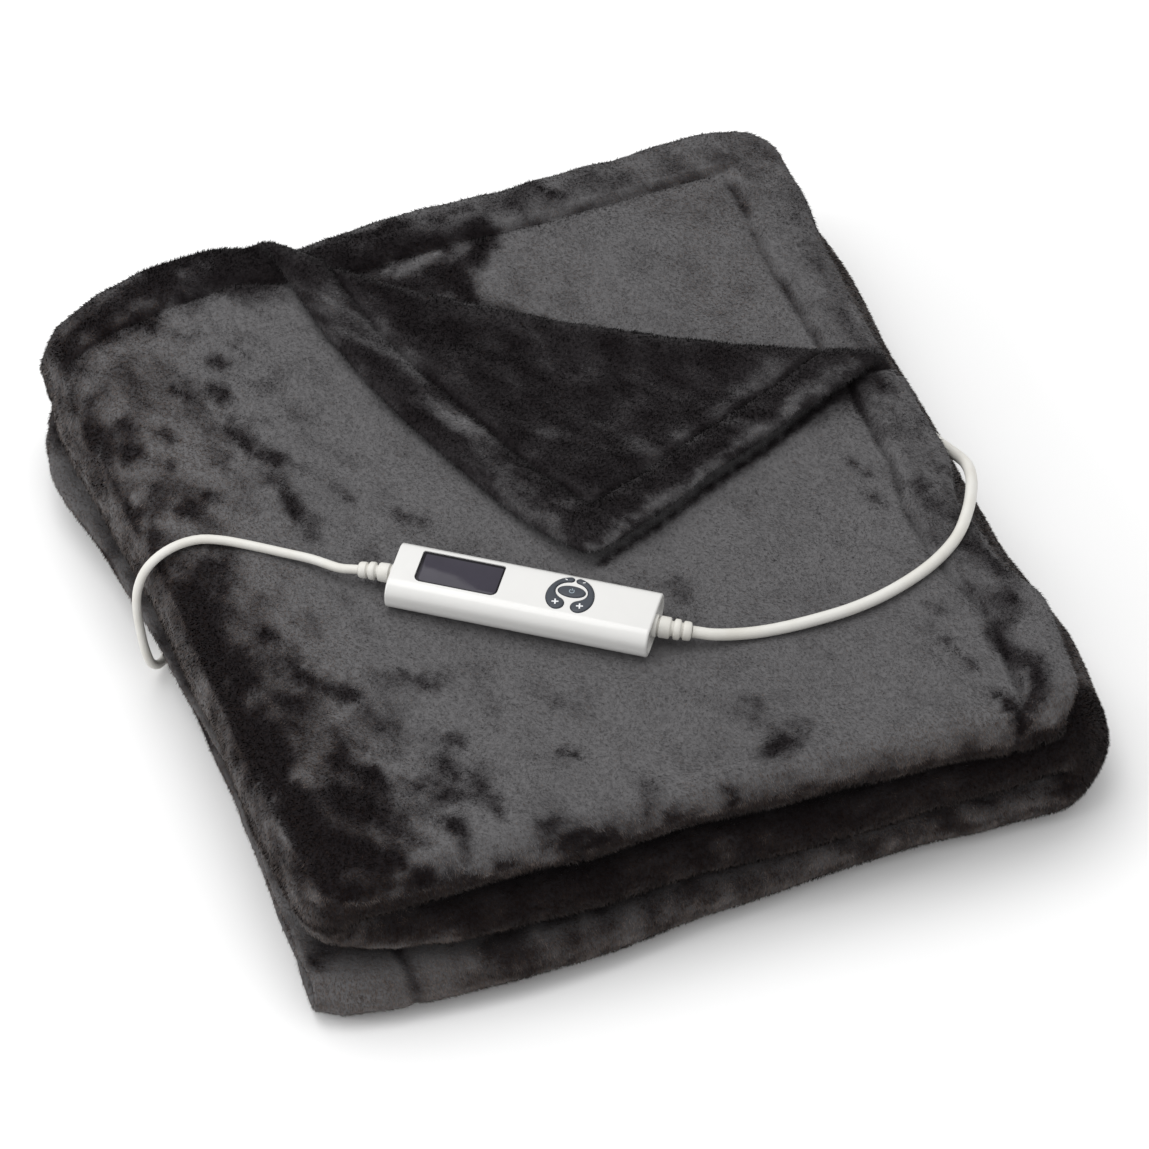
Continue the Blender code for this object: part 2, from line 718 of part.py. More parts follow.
def turned(name, profile, finish, group, place, steps=20):
    """A profile turned round the piece's own Z."""
    mesh = bpy.data.meshes.new(name)
    bm = bmesh.new()
    verts = [bm.verts.new((radius, 0.0, height)) for radius, height in profile]
    for first, second in zip(verts, verts[1:]):
        bm.edges.new((first, second))
    bm.to_mesh(mesh)
    bm.free()
    item = link(mesh, name, finish, group, place)
    spin = item.modifiers.new("turn", "SCREW")
    spin.steps = steps
    spin.render_steps = steps
    spin.use_merge_vertices = True
    spin.merge_threshold = 0.00001
    spin.use_normal_flip = True
    return item


def pointing(origin, direction):
    """Frame at a point with its Z along a direction."""
    turn = Vector(direction).to_track_quat("Z", "Y").to_matrix().to_4x4()
    return Matrix.Translation(origin) @ turn


def relief_axis(side, name, along):
    """Point and direction on a strain relief's bent axis, at a distance from the case."""
    place = case_place()
    out = (place.to_3x3() @ Vector((side, 0, 0))).normalized()
    root = place @ Vector((side * (CASE_LENGTH / 2 - END_RECESS + GAP), 0, CASE_HEIGHT / 2))
    aside, down = RELIEF_BEND[name]
    bend = place.to_3x3() @ Vector((0, aside, -down))
    share = along / RELIEF_LENGTH
    return root + out * along + bend * share ** 2, (out + bend * 2 * share / RELIEF_LENGTH).normalized()


def make_relief(side, name, diameter, finish, group):
    """A turned, ribbed sleeve, then bent along its cord's first stretch."""
    straight = turned(name, relief_profile(RELIEF_LENGTH, diameter), None, group, Matrix())
    shape = straight.evaluated_get(bpy.context.evaluated_depsgraph_get())
    mesh = bpy.data.meshes.new_from_object(shape)
    bpy.data.objects.remove(straight, do_unlink=True)
    for vert in mesh.vertices:
        centre, direction = relief_axis(side, name, vert.co.z)
        vert.co = pointing(centre, direction) @ Vector((vert.co.x, vert.co.y, 0))
    mesh.shade_smooth()
    mesh.set_sharp_from_angle(angle=math.radians(40))
    return link(mesh, name, finish, group)


def smooth_route(points, spacing):
    """Evenly spaced points on a smooth curve through the route's own points."""
    dense = []
    padded = [points[0] * 2 - points[1]] + points + [points[-1] * 2 - points[-2]]
    for before, start, end, after in zip(padded, padded[1:], padded[2:], padded[3:]):
        for i in range(20):
            dense.append(spline_point(before, start, end, after, i / 20))
    dense.append(points[-1])
    total = sum((b - a).length for a, b in zip(dense, dense[1:]))
    count = max(2, round(total / spacing))
    even = [dense[0]]
    walked = 0.0
    for a, b in zip(dense, dense[1:]):
        step = (b - a).length
        while len(even) < count and walked + step >= total * len(even) / count:
            share = (total * len(even) / count - walked) / step
            even.append(a.lerp(b, share))
        walked += step
    even.append(dense[-1])
    return even


def spline_point(before, start, end, after, t):
    """A centripetal Catmull-Rom curve between start and end."""
    knots = [0.0]
    for a, b in ((before, start), (start, end), (end, after)):
        knots.append(knots[-1] + max((b - a).length, 1e-6) ** 0.5)
    at = knots[1] + (knots[2] - knots[1]) * t
    level = [before, start, end, after]
    for order in (1, 2, 3):
        level = [a.lerp(b, (at - knots[lo]) / (knots[hi] - knots[lo]))
                 for a, b, lo, hi in blend_rows(level, order)]
    return level[0]


def blend_rows(level, order):
    """Pairs of neighbours with the knots that each blend runs between."""
    spans = {1: ((0, 1), (1, 2), (2, 3)), 2: ((0, 2), (1, 3)), 3: ((1, 2),)}[order]
    return [(level[i], level[i + 1], lo, hi) for i, (lo, hi) in enumerate(spans)]


def cord_tube(name, route, diameter, finish, group):
    points = smooth_route([Vector(p) for p in route], CORD_STEP * diameter)
    curve = bpy.data.curves.new(name, "CURVE")
    curve.dimensions = "3D"
    curve.bevel_depth = diameter / 2
    curve.bevel_resolution = 3
    curve.use_fill_caps = True
    spline = curve.splines.new("POLY")
    spline.points.add(len(points) - 1)
    for point, place in zip(spline.points, points):
        point.co = (*place, 1.0)
    return link(curve, name, finish, group)


def make_leads(finish, group):
    for side, name, diameter in ((1, "relief_right", BLANKET_LEAD_D), (-1, "relief_left", MAINS_D)):
        make_relief(side, name, diameter, finish, group)
        tip, out = relief_axis(side, name, RELIEF_LENGTH)
        start = tip + out * GAP
        points = BLANKET_LEAD if side > 0 else MAINS_LEAD
        tube = "blanket_lead" if side > 0 else "mains_lead"
        cord_tube(tube, (start, start + out * 0.005, start + out * 0.010) + points + mains_end(side),
                  diameter, finish, group)


def mains_end(side):
    """The mains lead ends in the face of its hank; the blanket lead ends where its points do."""
    return () if side > 0 else (HANK_IN,)


def make_hank(cord_finish, group):
    length, width, height = HANK_SIZE
    place = Matrix.Translation((*HANK_CENTRE, HANK_BASE))
    outline = rounded_outline((length, width), (width / 2 - 0.0005,) * 4, 7)
    hank = plate("mains_hank", outline, 0.0, height, cord_finish, group, place)
    soften = hank.modifiers.new("soften", "BEVEL")
    soften.width = MAINS_D / 2
    soften.segments = 2
    across = Matrix(((0, 0, 1, 0), (1, 0, 0, 0), (0, 1, 0, 0), (0, 0, 0, 1)))
    middle = place @ Matrix.Translation((0, 0, height / 2)) @ across
    inner = (width + 2 * GAP, height + 2 * GAP)
    outer = (inner[0] + 2 * TIE_THICK, inner[1] + 2 * TIE_THICK)
    tie = plate("hank_tie", rounded_outline(outer, (0.002,) * 4), -TIE_WIDTH / 2, TIE_WIDTH / 2,
                cord_finish, group, middle)
    return tie, middle, inner


def open_tie(tie, middle, inner, group, cutters):
    hole = plate("hank_tie_hole", rounded_outline(inner, (0.0014,) * 4), -TIE_WIDTH, TIE_WIDTH,
                 None, group, middle)
    cut(tie, as_cutter(hole, cutters))


def make_plug(finish, pin_finish, group):
    """Flat two-pin plug beside the hank, its pins pointing right, on the surface."""
    length, width, height = PLUG_SIZE
    place = Matrix.Translation((*PLUG_BACK, 0.0))
    nose = PLUG_NOSE / 2
    half = width / 2
    outline = [Vector(p) for p in ((0, -nose), (length * 0.42, -half), (length, -half),
                                   (length, half), (length * 0.42, half), (0, nose))]
    body = plate("plug_body", outline, 0.0, height, finish, group, place)
    soften = body.modifiers.new("soften", "BEVEL")
    soften.width = 0.0014
    soften.segments = 2
    for i, side in enumerate((-1, 1)):
        root = place @ Vector((length + GAP, side * PIN_SPACING / 2, height / 2))
        profile = [(0.0, 0.0), (PIN_R, 0.0), (PIN_R, PIN_LENGTH - 0.0012),
                   (PIN_R - 0.0012, PIN_LENGTH), (0.0, PIN_LENGTH)]
        turned("plug_pin_%d" % (i + 1), profile, pin_finish, group, pointing(root, (1, 0, 0)), 16)
    tail_end = place @ Vector((-GAP, 0, height / 2))
    relief = [(radius, RELIEF_LENGTH - along)
              for radius, along in relief_profile(RELIEF_LENGTH, MAINS_D)][::-1]
    turned("plug_relief", relief, finish, group,
           pointing(tail_end - Vector((RELIEF_LENGTH, 0, 0)), (1, 0, 0)))
    relief_end = tail_end - Vector((RELIEF_LENGTH + GAP, 0, 0))
    tail = (HANK_OUT, *TAIL_ROUTE, relief_end - Vector((0.006, 0, 0)), relief_end)
    cord_tube("mains_tail", tail, MAINS_D, finish, group)


def build():
    clear_scene()
    group = make_collection(COLLECTION)
    cutters = make_collection(CUTTERS)
    plush = material("plush", PLUSH, 0.95)
    white = material("warm_white_plastic", WARM_WHITE, 0.28)
    cord = material("white_cord", WARM_WHITE, 0.45)
    smoked = material("smoked_window", SMOKED, 0.08)
    navy = material("navy_keys", NAVY, 0.45)
    nickel = material("pins", NICKEL, 0.25, 1.0)
    make_blanket(plush, group)
    case = make_case(white, group, cutters)
    make_window(smoked, case, group, cutters)
    make_keys(navy, case, group, cutters)
    make_leads(cord, group)
    open_tie(*make_hank(cord, group), group, cutters)
    make_plug(cord, nickel, group)


build()
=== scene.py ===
"""Looks of the folded heated throw: its plush sheet and pile, its handset and its cords.

Metres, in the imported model's frame: X along the front of the stack, Y to its back, Z up. Tables are
written in millimetres. Sizes and places that the solids were made from are repeated here under the
same names.
"""

import math

import bmesh
import bpy
import numpy as np
from mathutils import Matrix, Vector
from mathutils.bvhtree import BVHTree

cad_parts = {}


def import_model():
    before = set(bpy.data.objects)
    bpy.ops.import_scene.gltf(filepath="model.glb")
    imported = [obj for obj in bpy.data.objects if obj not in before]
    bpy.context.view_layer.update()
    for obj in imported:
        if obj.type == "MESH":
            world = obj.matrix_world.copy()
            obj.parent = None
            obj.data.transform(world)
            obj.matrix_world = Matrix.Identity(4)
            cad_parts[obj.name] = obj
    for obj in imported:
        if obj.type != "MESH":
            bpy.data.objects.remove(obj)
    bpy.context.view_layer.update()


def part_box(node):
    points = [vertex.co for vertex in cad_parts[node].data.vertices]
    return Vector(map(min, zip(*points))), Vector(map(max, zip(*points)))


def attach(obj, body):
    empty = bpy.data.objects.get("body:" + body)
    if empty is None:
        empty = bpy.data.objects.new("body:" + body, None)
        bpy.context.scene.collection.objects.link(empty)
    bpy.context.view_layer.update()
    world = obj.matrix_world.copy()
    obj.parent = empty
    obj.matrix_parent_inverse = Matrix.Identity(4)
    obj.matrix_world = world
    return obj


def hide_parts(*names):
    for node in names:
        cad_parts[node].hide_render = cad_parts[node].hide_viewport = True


def mm(*rows, plain=0):
    """A table in metres from rows in millimetres; a row's last plain entries stay as they are."""
    return tuple(tuple(round(entry / 1000, 6) for entry in row[:len(row) - plain])
                 + row[len(row) - plain:] for row in rows)


# ---- the camera ----

CAMERA_TURN = math.radians(-21.5)
CAMERA_RISE = math.radians(47.0)
CAMERA_AWAY = 3.8
CAMERA_AT = Vector((0.00475, -0.0095, 0.0475))
CAMERA_LENS = 225.27
SENSOR = 36.0

# ---- the sheet, as the solids have it ----

PITCH = 0.0078
GROUP = 4 * PITCH
SETTLE = 0.0005
LENGTH = 1.80
TOP_Z = 3 * GROUP - 2 * SETTLE
FRONT_Y = -0.200
INNER_Y = -0.197
TOP_HEM_Y = 0.243
UNDER_HEM_Y = 0.241
OUTER_R = 1.5 * PITCH
INNER_R = 0.5 * PITCH
FOLD_ARCS = math.pi * (OUTER_R + 2 * INNER_R)
LAYERS_LEFT = LENGTH - FOLD_ARCS - (TOP_HEM_Y - FRONT_Y) - (UNDER_HEM_Y - INNER_Y)
BACK_Y = 0.5 * (LAYERS_LEFT + FRONT_Y + INNER_Y)
LEFT_X = -0.184
RIGHT_X = 0.200
TOP_HEM_X = 0.204
LOW_HEM_X = -0.209
BEND_ARC = math.pi * 2 * PITCH
TURN_START = np.array((-0.086, 0.239))
TURN_END = np.array((0.206, 0.033))
TURN_BOW = 0.026
TURN_R = 0.0055
TURN_EASE = 0.08
FLAP_REST = 0.0079
FLAP_SETTLE = 0.035
FLAP_CURL = 0.0050
CURL_REACH = 0.035  # from the turned edge's end
#   x, front top, front middle, front low, back top, back middle, back low
END_EDGES = mm(
    (-215, 11, 18, 2, -22, -6, -14), (-198, 8, 14, -6, -10, 2, -10), (-168, 4, 4, -12, 0, 8, -8),
    (-138, 3, -3, -14, 5, 11, -7), (-106, 2, -5, -15, 7, 12, -6), (-70, 0, -6, -15, -3, 12, -6),
    (5, -2, -8, -9, 5, 12, -5), (68, -4, -11, -7, 2, 11, -5), (124, -9, -10, -5, 4, 10, -6),
    (170, -14, -11, -8, 6, 8, -8), (205, -12, -11, -12, 2, 4, -12), (235, -4, -2, -5, -6, -4, -20))
#   y, left bend, right bend
SIDE_EDGES = mm(
    (-243, 8, -20), (-218, 3, -10), (-190, -1, 0), (-140, -3, 4), (-90, -1, -1), (-60, 2, -4),
    (-20, 1, -3), (30, -1, 0), (110, -1, 0), (180, -3, 0), (240, 0, -3))
#   s, top group's hem, low group's hem
HEM_EDGES = mm(
    (0, 0, 0), (60, 0, -10), (130, 0, -6), (210, 5, -2), (268, 7, 0), (309, -3, 1), (345, -6, -1),
    (385, 3, -2), (436, 2, -6), (462, -4, -9), (490, -6, -4), (520, -7, 0), (620, -2, 3),
    (680, -4, 4), (705, -20, 16), (735, -20, 21), (760, -20, 21), (785, -4, 21), (905, -5, 21),
    (940, -7, 8), (1060, -2, 6), (1200, -6, 4), (1345, -3, 1), (1470, 1, -2), (1600, 3, 2),
    (1690, 6, -4), (1750, 13, -6), (1780, 14, -3), (1800, 6, 2))
HEM_REACH = 0.10
# The left side pressed in (+) or out (-) between its groups: y, z, reach along, reach up, depth.
PINCHES = mm(
    (222, 41, 30, 10, 7.5), (205, 18, 30, 12, -4), (100, 36, 60, 8, 3), (-90, 36, 80, 8, 3))
#   x, y, radius, share of the height
SWELLS = mm(
    (-215, 215, 50, -0.05), (-205, -205, 55, -0.075), (205, -225, 55, -0.075),
    (215, 225, 55, -0.04), (-150, 60, 60, -0.012), (-120, 190, 70, 0.02), (150, -10, 50, -0.01),
    (100, 170, 80, 0.012), (60, -195, 60, -0.025), (-120, -190, 50, 0.012), plain=1)

# ---- the sheet's finer shape ----

HALF = 0.0026  # half the thickness of the backing, under its pile
CORNER_R = 0.012
TIP_R = 0.010
EDGE_ROUND = 0.0042
EDGE_LEAST = 0.004  # keeps the sheet from closing to nothing at its edge
SIDE_HEM = 0.031  # from a hem's edge to its row of stitches
LOW_HEM = 0.045
STITCH_REACH = 0.0022
STITCH_DEPTH = 0.55  # share of the thickness that the stitches take
STITCH_SINK = 0.0008  # how much further they draw the open side in
HEM_FULLNESS = 0.15
FREE_FULLNESS = 0.60  # where nothing lies on the hem
HEM_RISE = 0.008  # from the stitches to where the hem is full
HEM_FALL = 0.010  # from the edge to there
PINCHED = (0.130, 0.060)  # where the left side's pinches start, and their fade
# Unevenness as an amount and the size of its waves: sideways, up and down, and each layer's own.
WANDER, WANDER_SIZE = 0.0012, 0.055
HEAVE, HEAVE_SIZE = 0.0011, 0.050
RIPPLE, RIPPLE_SIZE = 0.0004, 0.018
HEAVE_FROM = 0.05  # the height from which it is whole
WAVES, WAVE_SPREAD = 20, (0.6, 1.4)  # in each random field

# Lines of the sheet's grid: close at its edges and stitches, and finer where it shows.
EDGE_STEPS = (0.0, 0.0005, 0.0014, 0.0028, 0.0045)
STITCH_STEPS = (-0.0045, -0.0022, -0.0010, 0.0, 0.0010, 0.0022, 0.0045)
LEAST_STEP = 0.0016
OUTER_STEP, INNER_STEP = math.pi * OUTER_R / 12, math.pi * INNER_R / 6
PANEL_STEPS = (0.0052, BEND_ARC / 14, 0.0130, BEND_ARC / 14, 0.0088)
RUN_STEPS = (0.0050, OUTER_STEP, 0.0160, INNER_STEP, 0.0160, INNER_STEP, 0.0130, 0.0056)
LAST_FINE = 1.5  # place on the cut length from which the last run's lines are finer
CHART_EDGE = 0.01  # round the sheet's two sides on their chart
CHART_SIDE = 0.47
CHART_RIM = 0.488

# Soft ridges (+) and troughs (-): from x, y, to x, y, half width, height, layer.
CREASES = mm(
    (-30, 120, 60, 60, 10, 1.6, "flap"), (20, 100, 48, 30, 8, -1.4, "flap"),
    (70, 85, 95, 35, 7, -1.6, "flap"), (120, 62, 128, 30, 6, -1.4, "flap"),
    (-35, 60, 10, 10, 9, -1.2, "flap"), (0, 30, 50, 10, 10, 1.4, "flap"),
    (140, 45, 175, 36, 6, 1.2, "flap"), (-165, 10, -110, -70, 16, -1.2, "top"),
    (-150, 170, -100, 150, 12, -1, "top"), (-190, -80, -165, -170, 12, -1.4, "top"),
    (-40, -185, 60, -205, 12, -1, "top"), (120, -20, 150, -70, 12, -1.2, "top"),
    (110, -170, 165, -180, 14, 1, "top"), (60, 190, 85, 120, 12, -1.2, "under"),
    (130, 190, 140, 110, 14, -1, "under"), (5, 215, 15, 160, 10, -1.4, "under"), plain=1)

# Strokes where the nap lies the other way and looks dark: from x, y, to x, y, reach, strength.
DARK_NAP = mm(
    (-185, 27, -207, -1, 8.5, 1), (-207, -1, -209, -33, 10.6, 1), (-206, -41, -201, -73, 9.5, 0.9),
    (-201, -73, -203, -113, 10.6, 1), (-203, -113, -204, -152, 8.5, 0.95),
    (-202, -156, -199, -193, 8.5, 0.8), (-193, -188, -188, -222, 9.5, 0.95),
    (-176, -28, -164, -39, 4.2, 0.8), (-165, -50, -159, -70, 4.8, 0.85),
    (-159, -73, -150, -89, 3.7, 0.75), (-146, -100, -137, -111, 3.2, 0.8),
    (-189, -74, -166, -76, 4.2, 0.6), (-168, -130, -151, -144, 5.3, 0.6),
    (-181, -143, -191, -179, 6.3, 0.6), (-163, -157, -167, -177, 5.3, 0.5),
    (-183, -185, -172, -198, 6.3, 0.75), (-143, -147, -133, -153, 4.2, 0.75),
    (-119, -78, -104, -97, 3.2, 0.6), (-111, -131, -105, -133, 3.2, 0.7),
    (-87, -125, -87, -138, 3.2, 0.5), (-56, -131, -46, -138, 3.2, 0.5),
    (-61, -166, -55, -169, 2.1, 0.6), (-121, -146, -126, -168, 4.8, 0.85),
    (-113, -162, -111, -172, 3.2, 0.8), (-107, -179, -109, -193, 3.7, 0.6),
    (-131, -186, -127, -218, 4.2, 0.75), (-158, -163, -149, -174, 4.8, 0.5),
    (-88, -205, -53, -218, 5.8, 0.8), (-116, -213, -86, -220, 6.3, 0.7),
    (-156, -207, -146, -221, 5.3, 0.6), (-34, -197, -34, -206, 4.8, 0.85),
    (-22, -215, -19, -219, 3.2, 0.7), (7, -209, 12, -212, 3.2, 0.7), (43, -162, 44, -168, 3.2, 0.6),
    (51, -186, 43, -200, 5.6, 1.1), (36, -170, 46, -186, 6, 0.25),
    (-172, -188, -171, -201, 4.8, 0.9), (154, -26, 158, -34, 3.2, 0.7),
    (156, -52, 159, -56, 2.6, 0.6), (149, -69, 152, -75, 3.2, 0.5), (32, -73, 37, -81, 4.2, 0.5),
    (179, 21, 182, 4, 5.3, 0.8), (183, -67, 178, -97, 4.8, 0.4), (-157, 207, -141, 193, 4.8, 0.7),
    (-141, 193, -123, 187, 3.2, 0.7), (-122, 181, -112, 166, 2.1, 0.8),
    (-136, 170, -132, 166, 3.7, 0.8), (-155, 161, -147, 146, 4.2, 0.75),
    (-140, 143, -137, 131, 4.2, 0.75), (-134, 124, -119, 114, 2.6, 0.6),
    (-173, 131, -174, 121, 4.2, 0.8), (-209, 170, -194, 170, 3.2, 0.7),
    (-193, 143, -197, 120, 4.8, 0.6), (-144, 112, -143, 107, 3.2, 0.7),
    (-142, 101, -126, 83, 3.2, 0.8), (-181, 104, -153, 95, 2.1, 0.5),
    (-164, 95, -153, 88, 2.6, 0.7), (-135, 72, -130, 62, 3.2, 0.7), (-130, 56, -129, 30, 4.8, 0.85),
    (-169, 78, -166, 70, 3.2, 0.5), (-105, 58, -98, 50, 2.6, 0.6), (-78, 22, -73, 16, 2.6, 0.6),
    (-211, 166, -212, 96, 7.4, 0.7), (-212, 96, -207, 58, 7.4, 0.9), (-203, 83, -199, 61, 7.4, 0.8),
    (-203, 103, -183, 75, 5.3, 0.45), (-213, 196, -216, 168, 5.3, 0.7),
    (39, 217, 28, 191, 3.7, 0.8), (12, 208, 14, 165, 4.8, 0.9), (7, 218, 11, 198, 3.7, 0.6),
    (-20, 220, -22, 204, 3.7, 0.5), (-39, 228, -34, 210, 4.2, 0.6), (-41, 238, -2, 234, 4.2, 0.9),
    (-1, 236, 39, 234, 3.7, 0.6), (72, 243, 88, 224, 2.6, 0.7), (182, -53, 178, -95, 3.6, 0.4),
    (178, -117, 181, -147, 3.4, 0.28), (181, -147, 184, -184, 4.4, 0.28),
    (184, -184, 181, -211, 3.4, 0.28), (197, -110, 196, -139, 4.2, 0.45),
    (172, 22, 183, -20, 1.8, 0.55), (183, -20, 180, -56, 1.8, 0.6),
    (180, -56, 175, -101, 1.8, 0.55), (179, -121, 179, -164, 1.8, 0.55),
    (179, -164, 178, -196, 1.8, 0.6), (178, -196, 173, -226, 2.1, 0.75),
    (153, -157, 158, -184, 1.7, 0.6), (149, -135, 151, -150, 1.7, 0.4),
    (165, -201, 167, -226, 2.8, 0.95), (187, 47, 194, 13, 4.4, 0.6), (185, 10, 187, -29, 3.4, 0.4),
    plain=1)
# Strokes of light nap over them.
LIGHT_NAP = mm(
    (-185, -226, -151, -223, 4, 0.55), (-151, -223, -109, -226, 3.4, 0.5),
    (-208, -32, -210, -79, 3.4, 0.34), (-206, -58, -211, -97, 2.8, 0.28),
    (-209, -120, -207, -148, 3.4, 0.28), (-190, -124, -169, -110, 4.4, 0.3),
    (-171, -210, -154, -195, 3.4, 0.3), (184, -220, 184, -253, 4, 0.35),
    (176, -249, 189, -250, 3.6, 0.35), (190, -158, 191, -178, 3.8, 0.3),
    (-131, -212, -120, -194, 2.8, 0.25), (-164, -97, -153, -96, 4.4, 0.25),
    (-200, 208, -150, 222, 3, 0.25), (-20, 203, 6, 205, 4, 0.4), (14, 186, 20, 160, 4, 0.35),
    (-196, 223, -174, 235, 5.8, 0.5), (-171, 236, -148, 240, 4.8, 0.45),
    (-127, 230, -108, 236, 3.7, 0.4), plain=1)
# Painted shadow on the top layer close under the turned corner's edge.
FLAP_SHADOW = mm(
    (4, -47, 66, -21.5, 2.2, 0.75), (66, -21.5, 134, 6.5, 2.6, 0.85),
    (134, 6.5, 184, 30, 3.2, 0.95), (150, 9, 190, 23, 8, 0.3), plain=1)
# Broad zones where most of the nap lies that way, on the top layer and on the one under it; the rows
# along the front edge are painted shade where the top turns down over it.
DARK_ZONES = mm(
    (-206, 214, -169, 228, 18, 1), (-169, 228, -121, 235, 18, 1), (-121, 234, -77, 222, 18, 1),
    (-77, 226, -53, 198, 8.5, 0.8), (-198, 206, -134, 218, 7.3, 0.6),
    (-213, 171, -218, 114, 7.3, 0.45), (-218, 106, -220, 22, 6.1, 0.5),
    (-174, 184, -154, 144, 13.4, 0.3), (-154, 144, -140, 75, 14.6, 0.32),
    (-194, 144, -184, 46, 15.8, 0.22), (-208, 40, -202, -30, 12, 0.9),
    (-202, -30, -202, -101, 14, 1), (-202, -101, -200, -167, 14.6, 0.95),
    (-200, -167, -195, -215, 14.6, 1), (-181, -1, -176, -70, 14.6, 0.35),
    (-181, -76, -171, -146, 21.9, 0.55), (-176, -144, -166, -205, 20.7, 0.65),
    (-161, -192, -136, -224, 11, 0.45), (-154, -27, -147, -52, 8.5, 0.3),
    (-150, -88, -131, -140, 15.8, 0.22), (-121, -143, -112, -176, 9.7, 0.25),
    # The next three rows, along the front edge, are painted shade where the top turns down.
    (-174, -226, -89, -227, 4.5, 0.3), (-89, -227, 18, -232, 3.5, 0.2),
    (18, -232, 167, -244, 3, 0.15), (190, -85, 188, -150, 8.5, 0.4),
    (188, -150, 182, -212, 8, 0.36), (198, 9, 197, -73, 3, 0.3), (-55, 219, 4, 219, 12.2, 0.85),
    (4, 219, 39, 217, 9.7, 0.75), (-47, 189, 10, 187, 12.2, 0.8), (11, 191, 43, 210, 7.3, 0.7),
    (8, 168, 43, 139, 7.3, 0.5), (50, 230, 113, 227, 11, 0.26), (113, 227, 183, 223, 9.7, 0.22),
    (183, 225, 211, 213, 8.5, 0.18), (207, 202, 199, 100, 4.9, 0.15), (197, 93, 204, 49, 6.1, 0.25),
    plain=1)
# The same on the turned corner: painted highlights along its rolled edges (the rows below 0), and
# darker nap in its middle (the rows above 0).
FLAP_HIGHLIGHTS_AND_NAP = mm(
    (-60, 182, -32, 71, 7.5, -0.44), (-32, 71, -10, -30, 6.8, -0.44),
    (-78, 205, -62, 150, 5, -0.18), (4, -44, 65, -18, 4, -0.52), (65, -18, 133, 10, 4, -0.54),
    (133, 10, 181, 34, 4, -0.48), (20, -10, 75, 14, 8.5, -0.18), (75, 14, 150, 46, 8.5, -0.2),
    (45, 114, 111, 76, 7.3, -0.16), (-22, 149, 26, 66, 18.3, 0.1),
    (30, 60, 70, 30, 15, 0.06), plain=1)
# Painted shade on the stack's sides by height, darkest on the front under the top group's overhang:
# z, at the front, at the left, elsewhere.
SIDE_SHADE_BANDS = mm(
    (0, 0.48, 0, 0.35), (19, 0.44, 0, 0.3), (28, 0.5, 0.02, 0.25), (34, 0.88, 0.08, 0.3),
    (50, 0.93, 0.06, 0.35), (64, 0.95, 0.2, 0.4), (74, 0.85, 0.36, 0.3), (81, 0.36, 0.28, 0.12),
    (86, 0.14, 0.2, 0.02), (96, 0, 0.08, 0), plain=3)
# Painted shade in the lines between the layers on the left side: z, reach, strength.
LAYER_SHADE_LINES = mm(
    (7.5, 1.7, 0.5), (15.5, 1.7, 0.55), (23.5, 1.6, 0.5), (31.5, 2.4, 0.75), (45, 1.8, 0.32),
    (56, 2.6, 0.4), plain=1)
FLAP_DARK = 0.73  # the turned corner shows the sheet's other face, whose nap lies away
TOP_DARK = 0.01
HEM_DARK, HEM_FADE = 0.05, 0.006
# Painted shade in the stitches' groove: its darkness and half width here, and how broken its line is
# below.
STITCH_SHADE, STITCH_BAND = 0.42, 0.0030
STROKE_WIDER, STROKE_WEAKER = 1.25, 0.68  # what the dark strokes are drawn with
STROKE_ROUGH = 0.45
ZONE_ROUGH, ZONE_PEAK = 0.36, 1.25
BROKEN = 0.55, 0.45, 0.012  # the stitches' dark line: least, what waves add, and their size
# Heights: where the top layer's upper side starts, where the sides end, and the low pile's top.
UPPER_FROM, SIDES_TO, LOW_TO = 0.079, 0.088, 0.078
# Where the sides' painted shade sets in and over how far, towards the front, the left, the right or
# the floor.
FRONT_SIDE = LEFT_SIDE = (0.190, 0.020)
# The left front corner's low layers keep little of the front's painted shade; the right front corner
# is painted dark as shade.
PALE_CORNER = (0.110, 0.070), (-0.050, 0.015)  # the left front corner's low layers
PALE_SHARE = 0.95
SHADED_CORNER = (0.182, 0.016), (0.165, 0.030)  # the right front corner
CORNER_SHADE, CORNER_TO = 0.92, 0.080
LINE_WANDER, LINE_WAVES = 0.002, 0.060
# How lively the nap's patches are: everywhere, and where more is added, with its amount.
LIVELY_TOP = 0.065, (0.045, 0.090, 0.095)
LIVELY_LOW = 0.085, (0.190, 0.020, 0.110)
LIVELY_FLAP = 0.210
PATCHES = ((0.40, 0.0180), (0.60, 0.0075), (0.45, 0.0036))  # share and size
STREAK_WAY = (0.45, -0.89)  # the way that the nap's patches run
STREAK_DRAWN = 0.42  # a patch's width as a share of its length
# Size, amount and seed of the fraying of outlines: of zones, and of strokes besides.
ZONE_FRAY = ((0.0160, 0.0030, 51), (0.0048, 0.0016, 61))
STROKE_FRAY = (0.0022, 0.0009, 65)
# Brownish pile at the left, over the front edge and low down: start, fade and share.
WARM_LEFT, WARM_FRONT = (0.110, 0.080, 0.92), (0.195, 0.030, 0.85)
WARM_LOW = (-0.088, 0.012, 0.90)
WARM_LIMITS = (0.05, 0.95)

# ---- the pile ----

BLADES = 720000
BLADE_LENGTH = 0.0024
BLADE_WIDTH = 0.00062
BLADE_SEED = 11
BLADE_DEEP = 0.0003  # how far its root is in the backing
BRUSHED = (-1.0, -0.6)  # the way of the pile along Y and Z
DRIFT, DRIFT_SIZE = 0.35, 0.035  # and how that wanders along X
